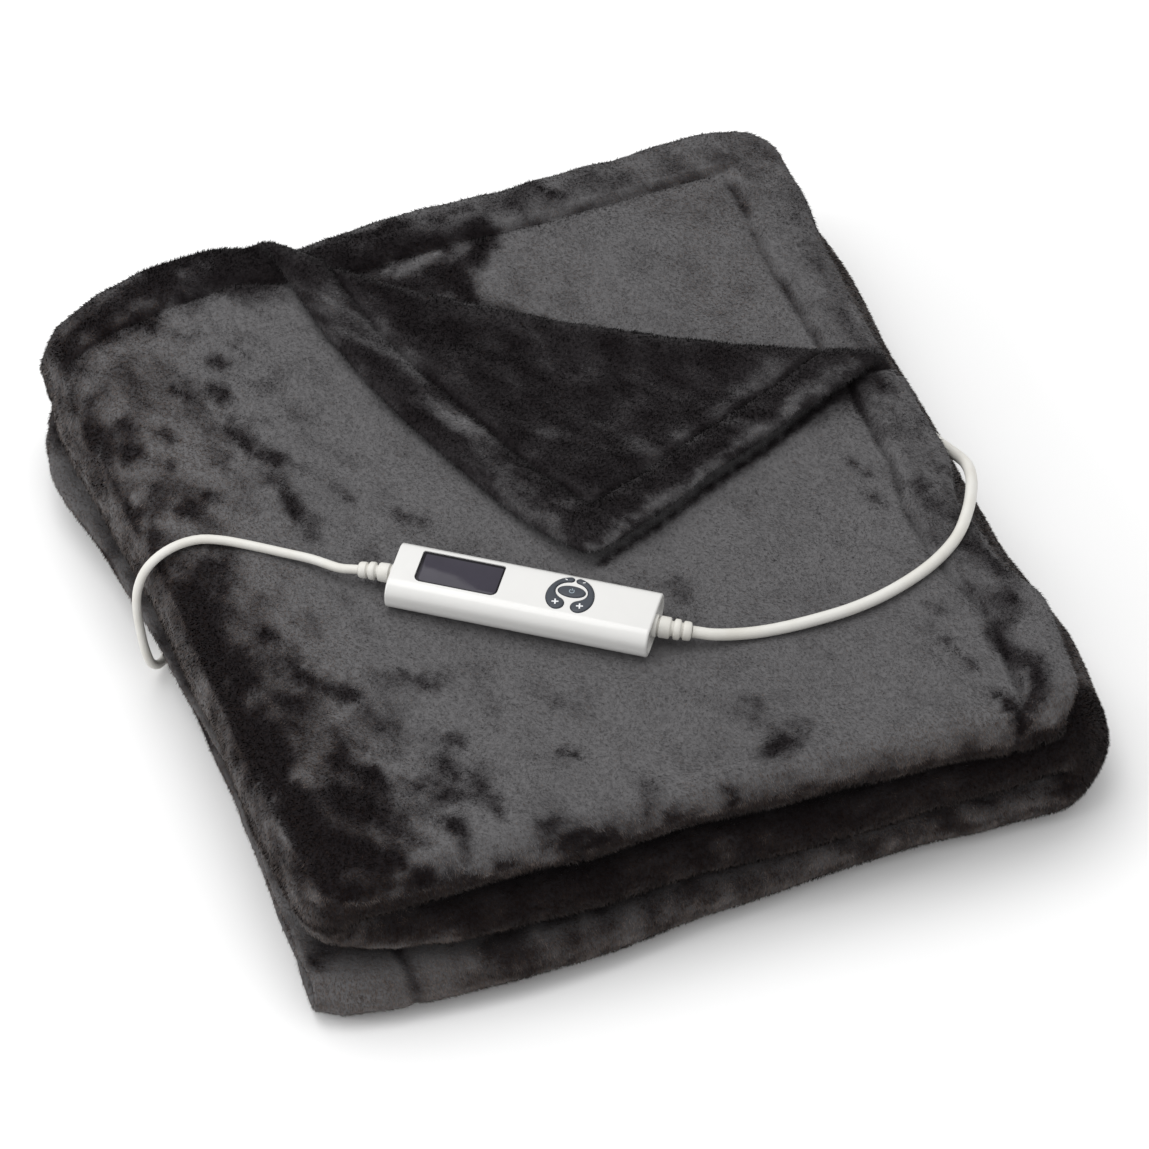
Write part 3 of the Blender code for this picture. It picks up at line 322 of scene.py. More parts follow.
# In degrees: a blade's swing from that way and its rise from the cloth, and what darkness adds, of
# dark nap or painted shade.
SWING, DARK_SWING = 25.0, 40.0
RISE, DARK_RISE, RISE_SPREAD = 22.0, 34.0, 10.0
RISE_LIMITS = (6.0, 84.0)
LENGTHS, WIDTHS = (0.7, 1.25), (0.7, 1.2)
STITCH_SHORT = 0.35
TWIST = 0.35
NORMAL_LEAN, NORMAL_SPREAD = 0.30, 0.22
CLUMPS = ((0.080, 0.0016, 91), (0.035, 0.0032, 92))  # amount, size and seed
CLUMP_DRAWN = 0.30
TONE_SHIFT, TONE_SPREAD, TONE_MOST = 0.015, 0.075, 0.98
# A blade's corners on the pile's chart, beside its tone (U) and from root to tip (V).
BLADE_U, BLADE_V = (-0.004, 0.004, 0.0), (0.04, 0.04, 0.96)
MOST_BLADES = 195000  # in one piece
# What is open: rays over each face, which count the floor's edge and the handset as cover.
LEAST_OPEN, SHADED = 0.10, 0.35  # openness that has blades, and their share in full shade
RAYS = ((55, 4, 0.4), (20, 4, 1.1))  # degrees of rise, number, first turn
STEEP = 0.8
RAY_LIFT, RAY_REACH = 0.0015, 0.35
RAY_DOWN, NEAR_FLOOR, ON_FLOOR = -0.25, 0.012, 0.0012
CASE_SHADE = (0.002, 0.006, 0.006, 0.004)  # in from the case's ends and sides, below it and above

# ---- cords, as the solids have them ----

GAP = 0.0003
BLANKET_LEAD_D = 0.0064
MAINS_D = 0.0050
RELIEF_LENGTH = 0.020
RELIEF_BEND = {"relief_right": (0.0020, 0.0014), "relief_left": (0.0000, 0.0018)}
BLANKET_LEAD = mm(
    (52, -122.5, 96.8), (68, -125.2, 96.1), (90, -126.8, 96), (115, -126.4, 96),
    (139, -122.2, 96.4), (164, -113, 96.6), (183, -100.5, 96.6), (196.5, -84.5, 96.2),
    (205.5, -69, 94), (211, -56, 90), (214.3, -43, 84.5), (215, -29, 77.5), (214, -15, 71.2),
    (212, -1.5, 67.6), (210, 11, 66.2), (206, 24, 66), (198.5, 36, 66), (186.8, 43.2, 66))
MAINS_LEAD = mm(
    (-135, 8.5, 96.2), (-147, 19, 95.4), (-164, 32.5, 95.2), (-174.5, 39.5, 95.4), (-185, 44, 95.5),
    (-196, 46, 93.5), (-206, 46.8, 88.5), (-214, 47, 80.2), (-219, 46.5, 68), (-220.5, 45, 54),
    (-220, 42.5, 40), (-218.8, 40.2, 27.5), (-216, 40.7, 16), (-211, 44.8, 8.2),
    (-205.2, 51.5, 4.2), (-200.3, 60.5, 2.9), (-197, 71.5, 2.7), (-195.2, 85, 2.7),
    (-195, 118, 2.7), (-195.5, 170, 2.7), (-195, 210, 2.7), (-194.6, 228, 2.7), (-192, 243, 2.8),
    (-184, 254, 3.3), (-172.2, 258.8, 3.8))
HANK_IN = (-0.1631, 0.2590, 0.0040)
HANK_OUT = (-0.048, 0.2640, 0.0140)
# Turns of the hank: radius and height at the start and end of its four stretches (near run,
# right turn, far run, left turn), and the share of the stretch over which they change.
HANK_RUN = (-0.148, -0.048)
HANK_Y = 0.279
HANK_TURNS = mm(
    (20, 20, 4, 4, 0, 1), (20, 20, 4, 4, 0, 1), (20, 15, 4, 4, 0.65, 1), (15, 15, 4, 4, 0, 1),
    (15, 15, 4, 4, 0, 1), (15, 15, 4, 4, 0, 1), (15, 15, 4, 9, 0.3, 0.65), (15, 15, 9, 9, 0, 1),
    (15, 15, 9, 9, 0, 1), (15, 15, 9, 9, 0, 1), (15, 20, 9, 9, 0, 0.35), (20, 20, 9, 9, 0, 1),
    (20, 20, 9, 9, 0, 1), (20, 20, 9, 14, 0.4, 1), (20, 20, 14, 14, 0, 1), (20, 20, 14, 14, 0, 1),
    (20, 15, 14, 14, 0, 0.35), plain=2)
TAIL_ROUTE = mm(
    (-38, 264.5, 14), (-29, 265.9, 13.8), (-20, 267.9, 12.8), (-10, 270.5, 10.9), (0, 273.2, 9.6),
    (10, 275.7, 8.4), (20, 277.7, 7.4), (28, 278.7, 6.9))
PLUG_SIZE = (0.034, 0.0240, 0.0136)
PLUG_NOSE = 0.0135
PLUG_BACK = (0.0620, 0.2790)
PIN_R = 0.0020
PIN_LENGTH = 0.019
PIN_SPACING = 0.0186
PIN_SLEEVE = 0.0100
PIN_TIP = ((1.0, 0.0016), (0.88, 0.0007), (0.55, 0.0001), (0.0, 0.0))  # radius, and from its end
SLEEVE_SHARE = 0.95  # of the pin's radius
PLUG_ROUND = 0.0016
PLUG_NECK, PLUG_SHOULDER = 0.20, 0.42  # shares of its length
NECK_WIDE, NECK_NOSE = 0.55, 0.4  # shares of its width and of its nose's
GRIP_SIZE, GRIP_ROUND, GRIP_FROM, GRIP_STEP = (0.0012, 0.012), 0.0005, 0.016, 0.0030
GRIP_SINK, GRIP_PROUD, GRIP_EDGE = 0.0002, 0.0004, 0.0002
STRAP_THICK, STRAP_ROUND = 0.0009, 0.004
STRAP_SECTIONS = ((-0.5, 0.0004), (-0.47, 0.0), (0.0, 0.0), (0.47, 0.0), (0.5, 0.0004))
LEAST_RADIUS = 0.00005  # that a turned piece closes to
LEAD_STRAIGHT = (0.005, 0.010)  # how far the leads run straight out of their reliefs
PLUG_STRAIGHT = 0.006  # and into the plug's
ROUTE_SPACING = 0.004  # between a cord's points
SPLINE_STEPS = 20  # between two of its route's own
RUN_POINTS, TURN_POINTS = 16, 12  # of each of the hank's stretches

# ---- the handset, as the solids have it ----

CASE_LENGTH = 0.140
CASE_WIDTH = 0.038
CASE_HEIGHT = 0.0185
CASE_ROUND = 0.0080
CASE_CENTRE = (-0.0446, -0.0640)
CASE_ANGLE = math.radians(-36.5)
CASE_SPLIT = 0.45
END_RECESS = 0.0016
END_RIM = 0.0022
FEATURES_V = 0.0012
WINDOW_U = -0.0348
WINDOW_SIZE = (0.0440, 0.0215)
WINDOW_FAR_R = 0.0014
WINDOW_NEAR_R = 0.0036
WINDOW_THICK = 0.0014
WINDOW_SINK = 0.0005
KEYS_U = 0.0245
KEY_HEIGHT = 0.0028
KEY_PROUD = 0.0006
KEY_FLOOR = 0.0012
KEY_CLEAR = 0.0003
POWER_AXES = (0.0073, 0.0039)
POWER_V = 0.0022
SPINE_AXES = (0.0104, 0.0098)
SPINE_V = 0.0008
SPINE_FROM = 103  # degrees
SPINE_TO = 236
CRESCENT_THIN = 0.0012
CRESCENT_TIP = 0.0006  # how much wider than that its thin end is
CRESCENT_THICK = 0.0040
CRESCENT_STEPS = 28

# The handset's finer shape, which the solids don't have.
CASE_END_ROUND = 0.0012
SEAM_GAP = 0.00012
CUT_CLEAR = 0.002  # how far its cutters stand out of the case
WINDOW_FIT, KEY_FIT = 0.7 * GAP, 0.8 * KEY_CLEAR  # room round the window and the keys
PANE_EDGE = 0.0003
CORNER_SHARE, CORNER_LEAST = 0.6, 0.0006  # how the window's corners follow its inset
GLASS_INSET = 0.0013
GLASS_SHIFT = (0.0004, -0.0003, 0.0)
GLASS_SINK, GLASS_PROUD, GLASS_EDGE = 0.0004, 0.00006, 0.00005
PLUS_TURN = math.radians(12.0)
PLUS_REACH, PLUS_HALF = 0.0018, 0.0004
MINUS_SIZE, MINUS_TURN, MINUS_STEP = (0.0014, 0.0005), 0.35, 3
RING_FROM, RING_SWEEP, RING_STEPS = 125, 290, 24  # degrees
RING_OUTER, RING_INNER = 0.00145, 0.00105
STROKE_SIZE, STROKE_V = (0.0004, 0.0015), 0.0011
MARK_SINK, MARK_THICK = 0.00002, 0.00005

# ---- the studio ----

FLOOR_HALF, FLOOR_SINK = 3.0, 0.0004
SKY = 0.75
#   name, place, aim, size, power
LIGHTS = (
    ("overhead", (-0.3, 0.5, 2.2), (0.0, 0.0, 0.05), (2.0, 1.6), 24.5),
    ("left_window", (-2.2, 0.2, 1.3), (0.0, 0.0, 0.05), (1.2, 1.2), 16.0),
)


# ---- the camera ----

def make_camera():
    ahead = Vector((-math.sin(CAMERA_TURN) * math.cos(CAMERA_RISE),
                    math.cos(CAMERA_TURN) * math.cos(CAMERA_RISE), -math.sin(CAMERA_RISE)))
    data = bpy.data.cameras.new("camera")
    data.sensor_width = SENSOR
    data.sensor_fit = "HORIZONTAL"
    data.lens = CAMERA_LENS
    item = link(data, "camera")
    item.location = CAMERA_AT - ahead * CAMERA_AWAY
    item.rotation_euler = ahead.to_track_quat("-Z", "Y").to_euler()
    bpy.context.scene.camera = item


# ---- objects ----

def link(data, name, finish=None, place=None):
    item = bpy.data.objects.new(name, data)
    if place is not None:
        item.matrix_world = place
    if finish is not None:
        data.materials.append(finish)
    bpy.context.scene.collection.objects.link(item)
    return item


def mesh_from(bm, name, sharp=40):
    bmesh.ops.recalc_face_normals(bm, faces=bm.faces)
    mesh = bpy.data.meshes.new(name)
    bm.to_mesh(mesh)
    bm.free()
    mesh.shade_smooth()
    mesh.set_sharp_from_angle(angle=math.radians(sharp))
    return mesh


def mesh_from_arrays(name, verts, faces):
    """A mesh from arrays of points and of faces that all have the same number of corners."""
    mesh = bpy.data.meshes.new(name)
    corners = faces.shape[1]
    mesh.vertices.add(len(verts))
    mesh.vertices.foreach_set("co", np.asarray(verts, dtype=np.float32).ravel())
    mesh.loops.add(faces.size)
    mesh.loops.foreach_set("vertex_index", faces.astype(np.int32).ravel())
    mesh.polygons.add(len(faces))
    mesh.polygons.foreach_set("loop_start", np.arange(0, faces.size, corners, dtype=np.int32))
    mesh.update(calc_edges=True)
    mesh.shade_smooth()
    return mesh


def keep(item, body="root", nodes=()):
    """The piece rides on a body and stands for some nodes, which are hidden."""
    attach(item, body)
    if nodes:
        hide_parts(*nodes)
    return item


# ---- materials ----

def new_finish(name, colour, roughness, **sockets):
    """A material and its shader, with the constants that are the same all over it."""
    finish = bpy.data.materials.new(name)
    finish.use_nodes = True
    shader = finish.node_tree.nodes["Principled BSDF"]
    shader.inputs["Base Color"].default_value = (*colour, 1.0)
    shader.inputs["Roughness"].default_value = roughness
    for socket, value in sockets.items():
        shader.inputs[socket.replace("_", " ")].default_value = value
    finish.diffuse_color = (*colour, 1.0)
    return finish, shader


def add(finish, kind, **settings):
    """A node; a setting is a socket's value, with _ for a space, or else one of its properties."""
    node = finish.node_tree.nodes.new(kind)
    for key, value in settings.items():
        socket = key.replace("_", " ")
        if socket in node.inputs:
            node.inputs[socket].default_value = value
        else:
            setattr(node, key, value)
    return node


def wire(finish, start, end):
    finish.node_tree.links.new(start, end)


def noise(finish, scale, detail=3.0, rough=0.55):
    """Noise by place, in cycles for each metre."""
    place = add(finish, "ShaderNodeTexCoord")
    grain = add(finish, "ShaderNodeTexNoise", Scale=scale, Detail=detail, Roughness=rough)
    wire(finish, place.outputs["Object"], grain.inputs["Vector"])
    return grain.outputs["Fac"]


def ramp(finish, value, stops):
    node = add(finish, "ShaderNodeValToRGB")
    bands = node.color_ramp.elements
    while len(bands) < len(stops):
        bands.new(0.5)
    for band, (place, colour) in zip(bands, stops):
        band.position = place
        band.color = (*colour, 1.0)
    wire(finish, value, node.inputs["Fac"])
    return node.outputs["Color"]


def spread(finish, value, low, high):
    """The noise's middle range, stretched between two values."""
    node = add(finish, "ShaderNodeMapRange", From_Min=0.3, From_Max=0.7, To_Min=low, To_Max=high)
    wire(finish, value, node.inputs["Value"])
    return node.outputs["Result"]


def maths(finish, operation, *terms):
    """A Math node over sockets and plain numbers."""
    node = add(finish, "ShaderNodeMath", operation=operation)
    for socket, term in zip(node.inputs, terms):
        if isinstance(term, float):
            socket.default_value = term
        else:
            wire(finish, term, socket)
    return node.outputs[0]


def bump(finish, shader, heights):
    """Bumps from several heights, each with its depth in metres, one on the other."""
    last = None
    for value, depth in heights:
        node = add(finish, "ShaderNodeBump", Strength=1.0, Distance=depth)
        wire(finish, value, node.inputs["Height"])
        if last is not None:
            wire(finish, last, node.inputs["Normal"])
        last = node.outputs["Normal"]
    wire(finish, last, shader.inputs["Normal"])


def surfaced(name, colour, roughness, patches, worn, smears, gloss, grains, **sockets):
    """A finish with worn patches, uneven gloss and fine bumps, from (scale, detail, rough)."""
    finish, shader = new_finish(name, colour, roughness, **sockets)
    wire(finish, ramp(finish, noise(finish, *patches), worn), shader.inputs["Base Color"])
    wire(finish, spread(finish, noise(finish, *smears), *gloss), shader.inputs["Roughness"])
    bump(finish, shader, [(noise(finish, scale, 2.0), depth) for scale, depth in grains])
    return finish


def plastic(name, colour, roughness, vary=0.03, speck=2600.0, **sockets):
    """Moulded plastic: a fine spark-eroded grain, slow waves, and handling marks in the gloss."""
    worn = tuple(channel * (1 - 2 * vary) for channel in colour)
    return surfaced(name, colour, roughness, (60.0, 4.0), ((0.3, worn), (0.6, colour)),
                    (180.0, 5.0, 0.65), (roughness * 0.8, roughness * 1.3),
                    ((90.0, 0.00003), (speck, 0.000012)), **sockets)


def cord_finish():
    """Extruded flexible sheath: satin, with faint waves where it has been bent and handled."""
    colour, handled = (0.68, 0.67, 0.635), (0.62, 0.60, 0.55)
    return surfaced("cord_sheath", colour, 0.42, (45.0, 4.0), ((0.32, handled), (0.58, colour)),
                    (300.0, 3.0), (0.36, 0.52), ((160.0, 0.00008), (2200.0, 0.00002)),
                    Specular_IOR_Level=0.45)


def nickel_finish():
    """Nickel plate, duller in patches."""
    return surfaced("nickel", (0.72, 0.70, 0.66), 0.24, (400.0, 5.0, 0.7),
                    ((0.3, (0.60, 0.57, 0.52)), (0.6, (0.74, 0.72, 0.68))),
                    (900.0, 4.0), (0.18, 0.36), ((2500.0, 0.00001),), Metallic=1.0)


# Tones of the nap from light to dark, where it is neutral and where it is warmer.
NAP_STOPS = (
    (0.00, (0.172, 0.168, 0.172)),
    (0.30, (0.098, 0.094, 0.097)),
    (0.62, (0.034, 0.030, 0.032)),
    (1.00, (0.013, 0.0100, 0.0112)),
)
WARM_STOPS = (
    (0.00, (0.192, 0.163, 0.150)),
    (0.30, (0.102, 0.081, 0.072)),
    (0.62, (0.036, 0.0245, 0.0205)),
    (1.00, (0.014, 0.0078, 0.0066)),
)
# Blades darker towards their roots: painted shade deep in the pile.
ROOT_SHADE_STOPS = ((0.0, (0.42, 0.40, 0.41)), (0.55, (0.92, 0.92, 0.92)), (1.0, (1.0, 1.0, 1.0)))


def backing_finish():
    """The knitted backing under the pile: its own loops, and the light and dark patches of
    darkness(): the nap's, with its painted shade and highlights.
    """
    finish, shader = new_finish("plush_backing", (0.07, 0.068, 0.07), 0.95,
                                Specular_IOR_Level=0.05, Sheen_Weight=0.04, Sheen_Roughness=0.6)
    nap = add(finish, "ShaderNodeAttribute", attribute_name="nap")
    grain = noise(finish, 900.0, 4.0, 0.7)
    shade = maths(finish, "MULTIPLY_ADD", grain, 0.5, nap.outputs["Fac"])
    shade = maths(finish, "SUBTRACT", shade, 0.25)
    deep = [(place, tuple(0.72 * channel for channel in colour)) for place, colour in NAP_STOPS]
    wire(finish, ramp(finish, shade, deep), shader.inputs["Base Color"])
    bump(finish, shader, ((noise(finish, 420.0, 3.0), 0.0005), (grain, 0.0003)))
    return finish


def pile_finish():
    """The pile: its colour by the blade's own tone (U), with painted shade from its tip down to its
    root (V).
    """
    finish, shader = new_finish("plush_pile", (0.1, 0.098, 0.1), 0.85,
                                Specular_IOR_Level=0.06, Sheen_Weight=0.06, Sheen_Roughness=0.45)
    chart = add(finish, "ShaderNodeUVMap", uv_map="OFBake")
    parts = add(finish, "ShaderNodeSeparateXYZ")
    wire(finish, chart.outputs["UV"], parts.inputs["Vector"])
    stops = [(0.5 * place * 0.998, colour) for place, colour in NAP_STOPS]
    stops += [(0.501 + 0.499 * place, colour) for place, colour in WARM_STOPS]
    mix = add(finish, "ShaderNodeMix", data_type="RGBA", blend_type="MULTIPLY", Factor=1.0)
    first, second = [socket for socket in mix.inputs if socket.type == "RGBA"]
    wire(finish, ramp(finish, parts.outputs["X"], stops), first)
    wire(finish, ramp(finish, parts.outputs["Y"], ROOT_SHADE_STOPS), second)
    mixed = [socket for socket in mix.outputs if socket.type == "RGBA"][0]
    wire(finish, mixed, shader.inputs["Base Color"])
    return finish


# ---- soft steps ----

def ease(share):
    """0 up to 0 and 1 from 1 on, with a soft start and end between them."""
    share = np.clip(share, 0.0, 1.0)
    return share * share * (3 - 2 * share)


def past(value, start, fade, most=1.0):
    """0 up to start, and from there eased to most over fade."""
    return most * ease((value - start) / fade)


def bell(away, reach):
    """1 where away is 0, and softly down to nothing beyond the reach."""
    return np.exp(-(away / reach) ** 2)


def unit(rows):
    return rows / np.maximum(np.linalg.norm(rows, axis=1, keepdims=True), 1e-9)


# ---- the cords ----

def smooth_route(points, spacing):
    """Evenly spaced points on a smooth curve through the route's own points."""
    dense = []
    padded = [points[0] * 2 - points[1]] + points + [points[-1] * 2 - points[-2]]
    for four in zip(padded, padded[1:], padded[2:], padded[3:]):
        dense += [spline_point(*four, i / SPLINE_STEPS) for i in range(SPLINE_STEPS)]
    dense.append(points[-1])
    lengths = np.cumsum([0.0] + [(b - a).length for a, b in zip(dense, dense[1:])])
    count = max(2, round(lengths[-1] / spacing))
    even = np.linspace(0.0, lengths[-1], count + 1)
    table = np.array([tuple(point) for point in dense])
    return [Vector(row) for row in zip(*(np.interp(even, lengths, table[:, k]) for k in range(3)))]


def spline_point(before, start, end, after, t):
    """A centripetal Catmull-Rom curve between start and end."""
    knots = [0.0]
    for a, b in ((before, start), (start, end), (end, after)):
        knots.append(knots[-1] + max((b - a).length, 1e-6) ** 0.5)
    at = knots[1] + (knots[2] - knots[1]) * t
    level = [before, start, end, after]
    for spans in (((0, 1), (1, 2), (2, 3)), ((0, 2), (1, 3)), ((1, 2),)):
        level = [a.lerp(b, (at - knots[lo]) / (knots[hi] - knots[lo]))
                 for a, b, (lo, hi) in zip(level, level[1:], spans)]
    return level[0]


def hank_route():
    """The mains lead's turns behind the stack, from its first straight run to its last."""
    route = []
    for index, (r0, r1, z0, z1, begins, ends) in enumerate(HANK_TURNS):
        kind = index % 4
        steps = TURN_POINTS if kind % 2 else RUN_POINTS
        for share in (i / steps for i in range(steps)):
            change = float(ease((share - begins) / (ends - begins)))
            route.append(hank_point(kind, share, r0 + (r1 - r0) * change, z0 + (z1 - z0) * change))
    return route


def hank_point(kind, share, radius, height):
    """A point of a near run, right turn, far run or left turn (kind 0 to 3)."""
    left, right = HANK_RUN
    if kind in (0, 2):
        start, end, aside = (left, right, -radius) if kind == 0 else (right, left, radius)
        return Vector((start + (end - start) * share, HANK_Y + aside, height))
    middle = right if kind == 1 else left
    angle = math.pi * (share - 0.5) + (0.0 if kind == 1 else math.pi)
    return Vector((middle + radius * math.cos(angle), HANK_Y + radius * math.sin(angle), height))


def cord_curve(name, points, diameter, finish):
    curve = bpy.data.curves.new(name, "CURVE")
    curve.dimensions = "3D"
    curve.bevel_depth = diameter / 2
    curve.bevel_resolution = 4
    curve.use_fill_caps = True
    spline = curve.splines.new("POLY")
    spline.points.add(len(points) - 1)
    for point, place in zip(spline.points, points):
        point.co = (*place, 1.0)
    spline.use_smooth = True
    return link(curve, name, finish)


def lead_start(side, name):
    """The first points of a lead, straight out of its strain relief."""
    tip, out = relief_axis(side, name, RELIEF_LENGTH)
    start = tip + out * GAP
    return [start] + [start + out * along for along in LEAD_STRAIGHT]


def make_cords(finish):
    """Both leads, each one curve along the route that the solids follow."""
    near = lead_start(1, "relief_right") + [Vector(p) for p in BLANKET_LEAD]
    near = smooth_route(near, ROUTE_SPACING)
    blanket_cord = cord_curve("blanket_cord", near, BLANKET_LEAD_D, finish)
    keep(blanket_cord, nodes=("blanket_lead",))
    relief_end = Vector((PLUG_BACK[0] - 2 * GAP - RELIEF_LENGTH, PLUG_BACK[1], PLUG_SIZE[2] / 2))
    far = lead_start(-1, "relief_left") + [Vector(p) for p in (*MAINS_LEAD, HANK_IN)]
    far += hank_route() + [Vector(p) for p in (HANK_OUT, *TAIL_ROUTE)]
    far += [relief_end - Vector((PLUG_STRAIGHT, 0, 0)), relief_end]
    far = smooth_route(far, ROUTE_SPACING)
    mains_cord = cord_curve("mains_cord", far, MAINS_D, finish)
    keep(mains_cord, nodes=("mains_lead", "mains_hank", "mains_tail"))
    return mains_cord, far


# ---- the folded sheet ----

RUN_LENGTHS = np.array((TOP_HEM_Y - FRONT_Y, math.pi * OUTER_R, BACK_Y - FRONT_Y,
                        math.pi * INNER_R, BACK_Y - INNER_Y, math.pi * INNER_R,
                        UNDER_HEM_Y - INNER_Y))
PANEL_LENGTHS = np.array((TOP_HEM_X - LEFT_X, BEND_ARC, RIGHT_X - LEFT_X, BEND_ARC,
                          RIGHT_X - LOW_HEM_X))
WIDTH = float(PANEL_LENGTHS.sum())
TOP_RUN = float(RUN_LENGTHS[0])
TOP_PANEL = float(PANEL_LENGTHS[0])
TURN_LENGTH = float(np.linalg.norm(TURN_END - TURN_START))
TURN_ALONG = (TURN_END - TURN_START) / TURN_LENGTH
TURN_OUT = np.array((-TURN_ALONG[1], TURN_ALONG[0]))
HALF_ROUND = math.pi * TURN_R
UNDER_FROM = LENGTH - float(RUN_LENGTHS[-1])


def eased(rows, at, column):
    """A table's column at many places, eased between its rows."""
    table = np.array(rows)
    places, values = table[:, 0], table[:, column]
    index = np.clip(np.searchsorted(places, at) - 1, 0, len(places) - 2)
    share = ease((at - places[index]) / (places[index + 1] - places[index]))
    return values[index] + (values[index + 1] - values[index]) * share


def locate(lengths, at):
    """The part that each place falls in, and how far into it."""
    ends = np.cumsum(lengths)
    index = np.minimum(np.searchsorted(ends + 1e-7, at), len(lengths) - 1)
    return index, np.minimum(at - (ends - lengths)[index], lengths[index])


def run_place(run, d):
    """Along the cut length: place along Y and height in the group."""
    level = np.zeros_like(d)
    wide = d / OUTER_R
    tight = d / INNER_R
    y = np.choose(run, (TOP_HEM_Y - d, FRONT_Y - OUTER_R * np.sin(wide), FRONT_Y + d,
                        BACK_Y + INNER_R * np.sin(tight), BACK_Y - d,
                        INNER_Y - INNER_R * np.sin(tight), INNER_Y + d))
    w = np.choose(run, (level + 3.5 * PITCH, 2 * PITCH + OUTER_R * np.cos(wide),
                        level + 0.5 * PITCH, PITCH - INNER_R * np.cos(tight),
                        level + 1.5 * PITCH, 2 * PITCH - INNER_R * np.cos(tight),
                        level + 2.5 * PITCH))
    return y, w


def panel_place(panel, d, w):
    """Across the width: place along X and height in the stack."""
    turn = math.pi * d / BEND_ARC
    x = np.choose(panel, (TOP_HEM_X - d, LEFT_X - w * np.sin(turn), LEFT_X + d,
                          RIGHT_X + (GROUP - w) * np.sin(turn), RIGHT_X - d))
    z = np.choose(panel, (2 * GROUP + w, 2 * GROUP + w * np.cos(turn), 2 * GROUP - w,
                          GROUP + (GROUP - w) * np.cos(turn), w))
    return x, z


def group_shares(panel, d):
    """How much of the top, middle and low group's outline each place takes."""
    turned = 0.5 - 0.5 * np.cos(math.pi * d / BEND_ARC)
    none = np.zeros_like(d)
    whole = none + 1.0
    return (np.choose(panel, (whole, 1 - turned, none, none, none)),
            np.choose(panel, (none, turned, whole, 1 - turned, none)),
            np.choose(panel, (none, none, none, turned, whole)))


def turn_bow(t):
    share = np.clip(t / TURN_LENGTH, 0.0, 1.0)
    return TURN_BOW * 4 * share * (1 - share)


def to_turn(p, s):
    """Places on the flat sheet as (along the turned edge, beyond it)."""
    x = TOP_HEM_X - p - TURN_START[0]
    y = TOP_HEM_Y - s - TURN_START[1]
    t = x * TURN_ALONG[0] + y * TURN_ALONG[1]
    return t, x * TURN_OUT[0] + y * TURN_OUT[1] + turn_bow(t)


def turned_back(p, s):
    """Places of the turned corner, and their rise over the top layer."""
    t, q = to_turn(p, s)
    reach = q - HALF_ROUND
    down = ease(reach / FLAP_SETTLE)
    flat_rise = 2 * TURN_R - (2 * TURN_R - FLAP_REST) * down
    flat_rise = flat_rise + FLAP_CURL * np.clip(reach / FLAP_SETTLE, 0, 1) * bell(p, CURL_REACH)
    bending = q <= HALF_ROUND
    out = np.where(bending, TURN_R * np.sin(q / TURN_R), -reach * (1 - TURN_EASE))
    rise = np.where(bending, TURN_R * (1 - np.cos(q / TURN_R)), flat_rise)
    back = out - turn_bow(t)
    x = TURN_START[0] + TURN_ALONG[0] * t + TURN_OUT[0] * back
    y = TURN_START[1] + TURN_ALONG[1] * t + TURN_OUT[1] * back
    return x, y, rise


def swell(x, y):
    share = np.zeros_like(x)
    for centre_x, centre_y, radius, amount in SWELLS:
        share += amount * np.exp(-((x - centre_x) ** 2 + (y - centre_y) ** 2) / radius ** 2)
    return share


def uneven(x, y, z, shares):
    """The stack's own irregular outline and top, from the tables above."""
    ahead = sum(share * eased(END_EDGES, x, 1 + k) for k, share in enumerate(shares))
    behind = sum(share * eased(END_EDGES, x, 4 + k) for k, share in enumerate(shares))
    depth = np.clip((y - FRONT_Y) / (TOP_HEM_Y - FRONT_Y), 0.0, 1.0)
    across = np.clip((x - LEFT_X) / (RIGHT_X - LEFT_X), 0.0, 1.0)
    moved_x = x + eased(SIDE_EDGES, y, 1) * (1 - across) + eased(SIDE_EDGES, y, 2) * across
    moved_y = y + ahead * (1 - depth) + behind * depth
    lifted = np.maximum(z - PITCH, 0.0)
    return np.stack((moved_x, moved_y, z + lifted * swell(x, y) - SETTLE), axis=-1)


def rounded_corners(p, s):
    """The flat sheet's square corners brought in to round ones; the turned one is tighter."""
    radius = np.where((p < WIDTH / 2) & (s < LENGTH / 2), TIP_R, CORNER_R)
    from_side = np.minimum(p, WIDTH - p)
    from_end = np.minimum(s, LENGTH - s)
    a = radius - from_side
    b = radius - from_end
    inside = (a > 0) & (b > 0)
    pull = np.where(inside, np.maximum(a, b) / np.maximum(np.hypot(a, b), 1e-9), 1.0)
    new_p = np.where(p < WIDTH / 2, radius - a * pull, WIDTH - radius + a * pull)
    new_s = np.where(s < LENGTH / 2, radius - b * pull, LENGTH - radius + b * pull)
    return np.where(inside, new_p, p), np.where(inside, new_s, s)


def is_flap(p, s):
    on_top = (p < TOP_PANEL) & (s < TOP_RUN)
    return on_top & (to_turn(p, s)[1] > 0)


def folded(p, s):
    """Where points of the flat sheet's middle lie in the stack."""
    p, s = rounded_corners(p, s)
    run, along = locate(RUN_LENGTHS, s)
    panel, across = locate(PANEL_LENGTHS, p)
    y, w = run_place(run, along)
    x, z = panel_place(panel, across, w)
    near_top_hem = np.maximum(0.0, 1 - p / HEM_REACH)
    near_low_hem = np.maximum(0.0, 1 - (WIDTH - p) / HEM_REACH)
    x = x + eased(HEM_EDGES, s, 1) * near_top_hem + eased(HEM_EDGES, s, 2) * near_low_hem
    flap_x, flap_y, rise = turned_back(p, s)
    turned = is_flap(p, s)
    x = np.where(turned, flap_x, x)
    y = np.where(turned, flap_y, y)
    z = np.where(turned, z + rise, z)
    return uneven(x, y, z, group_shares(panel, across))


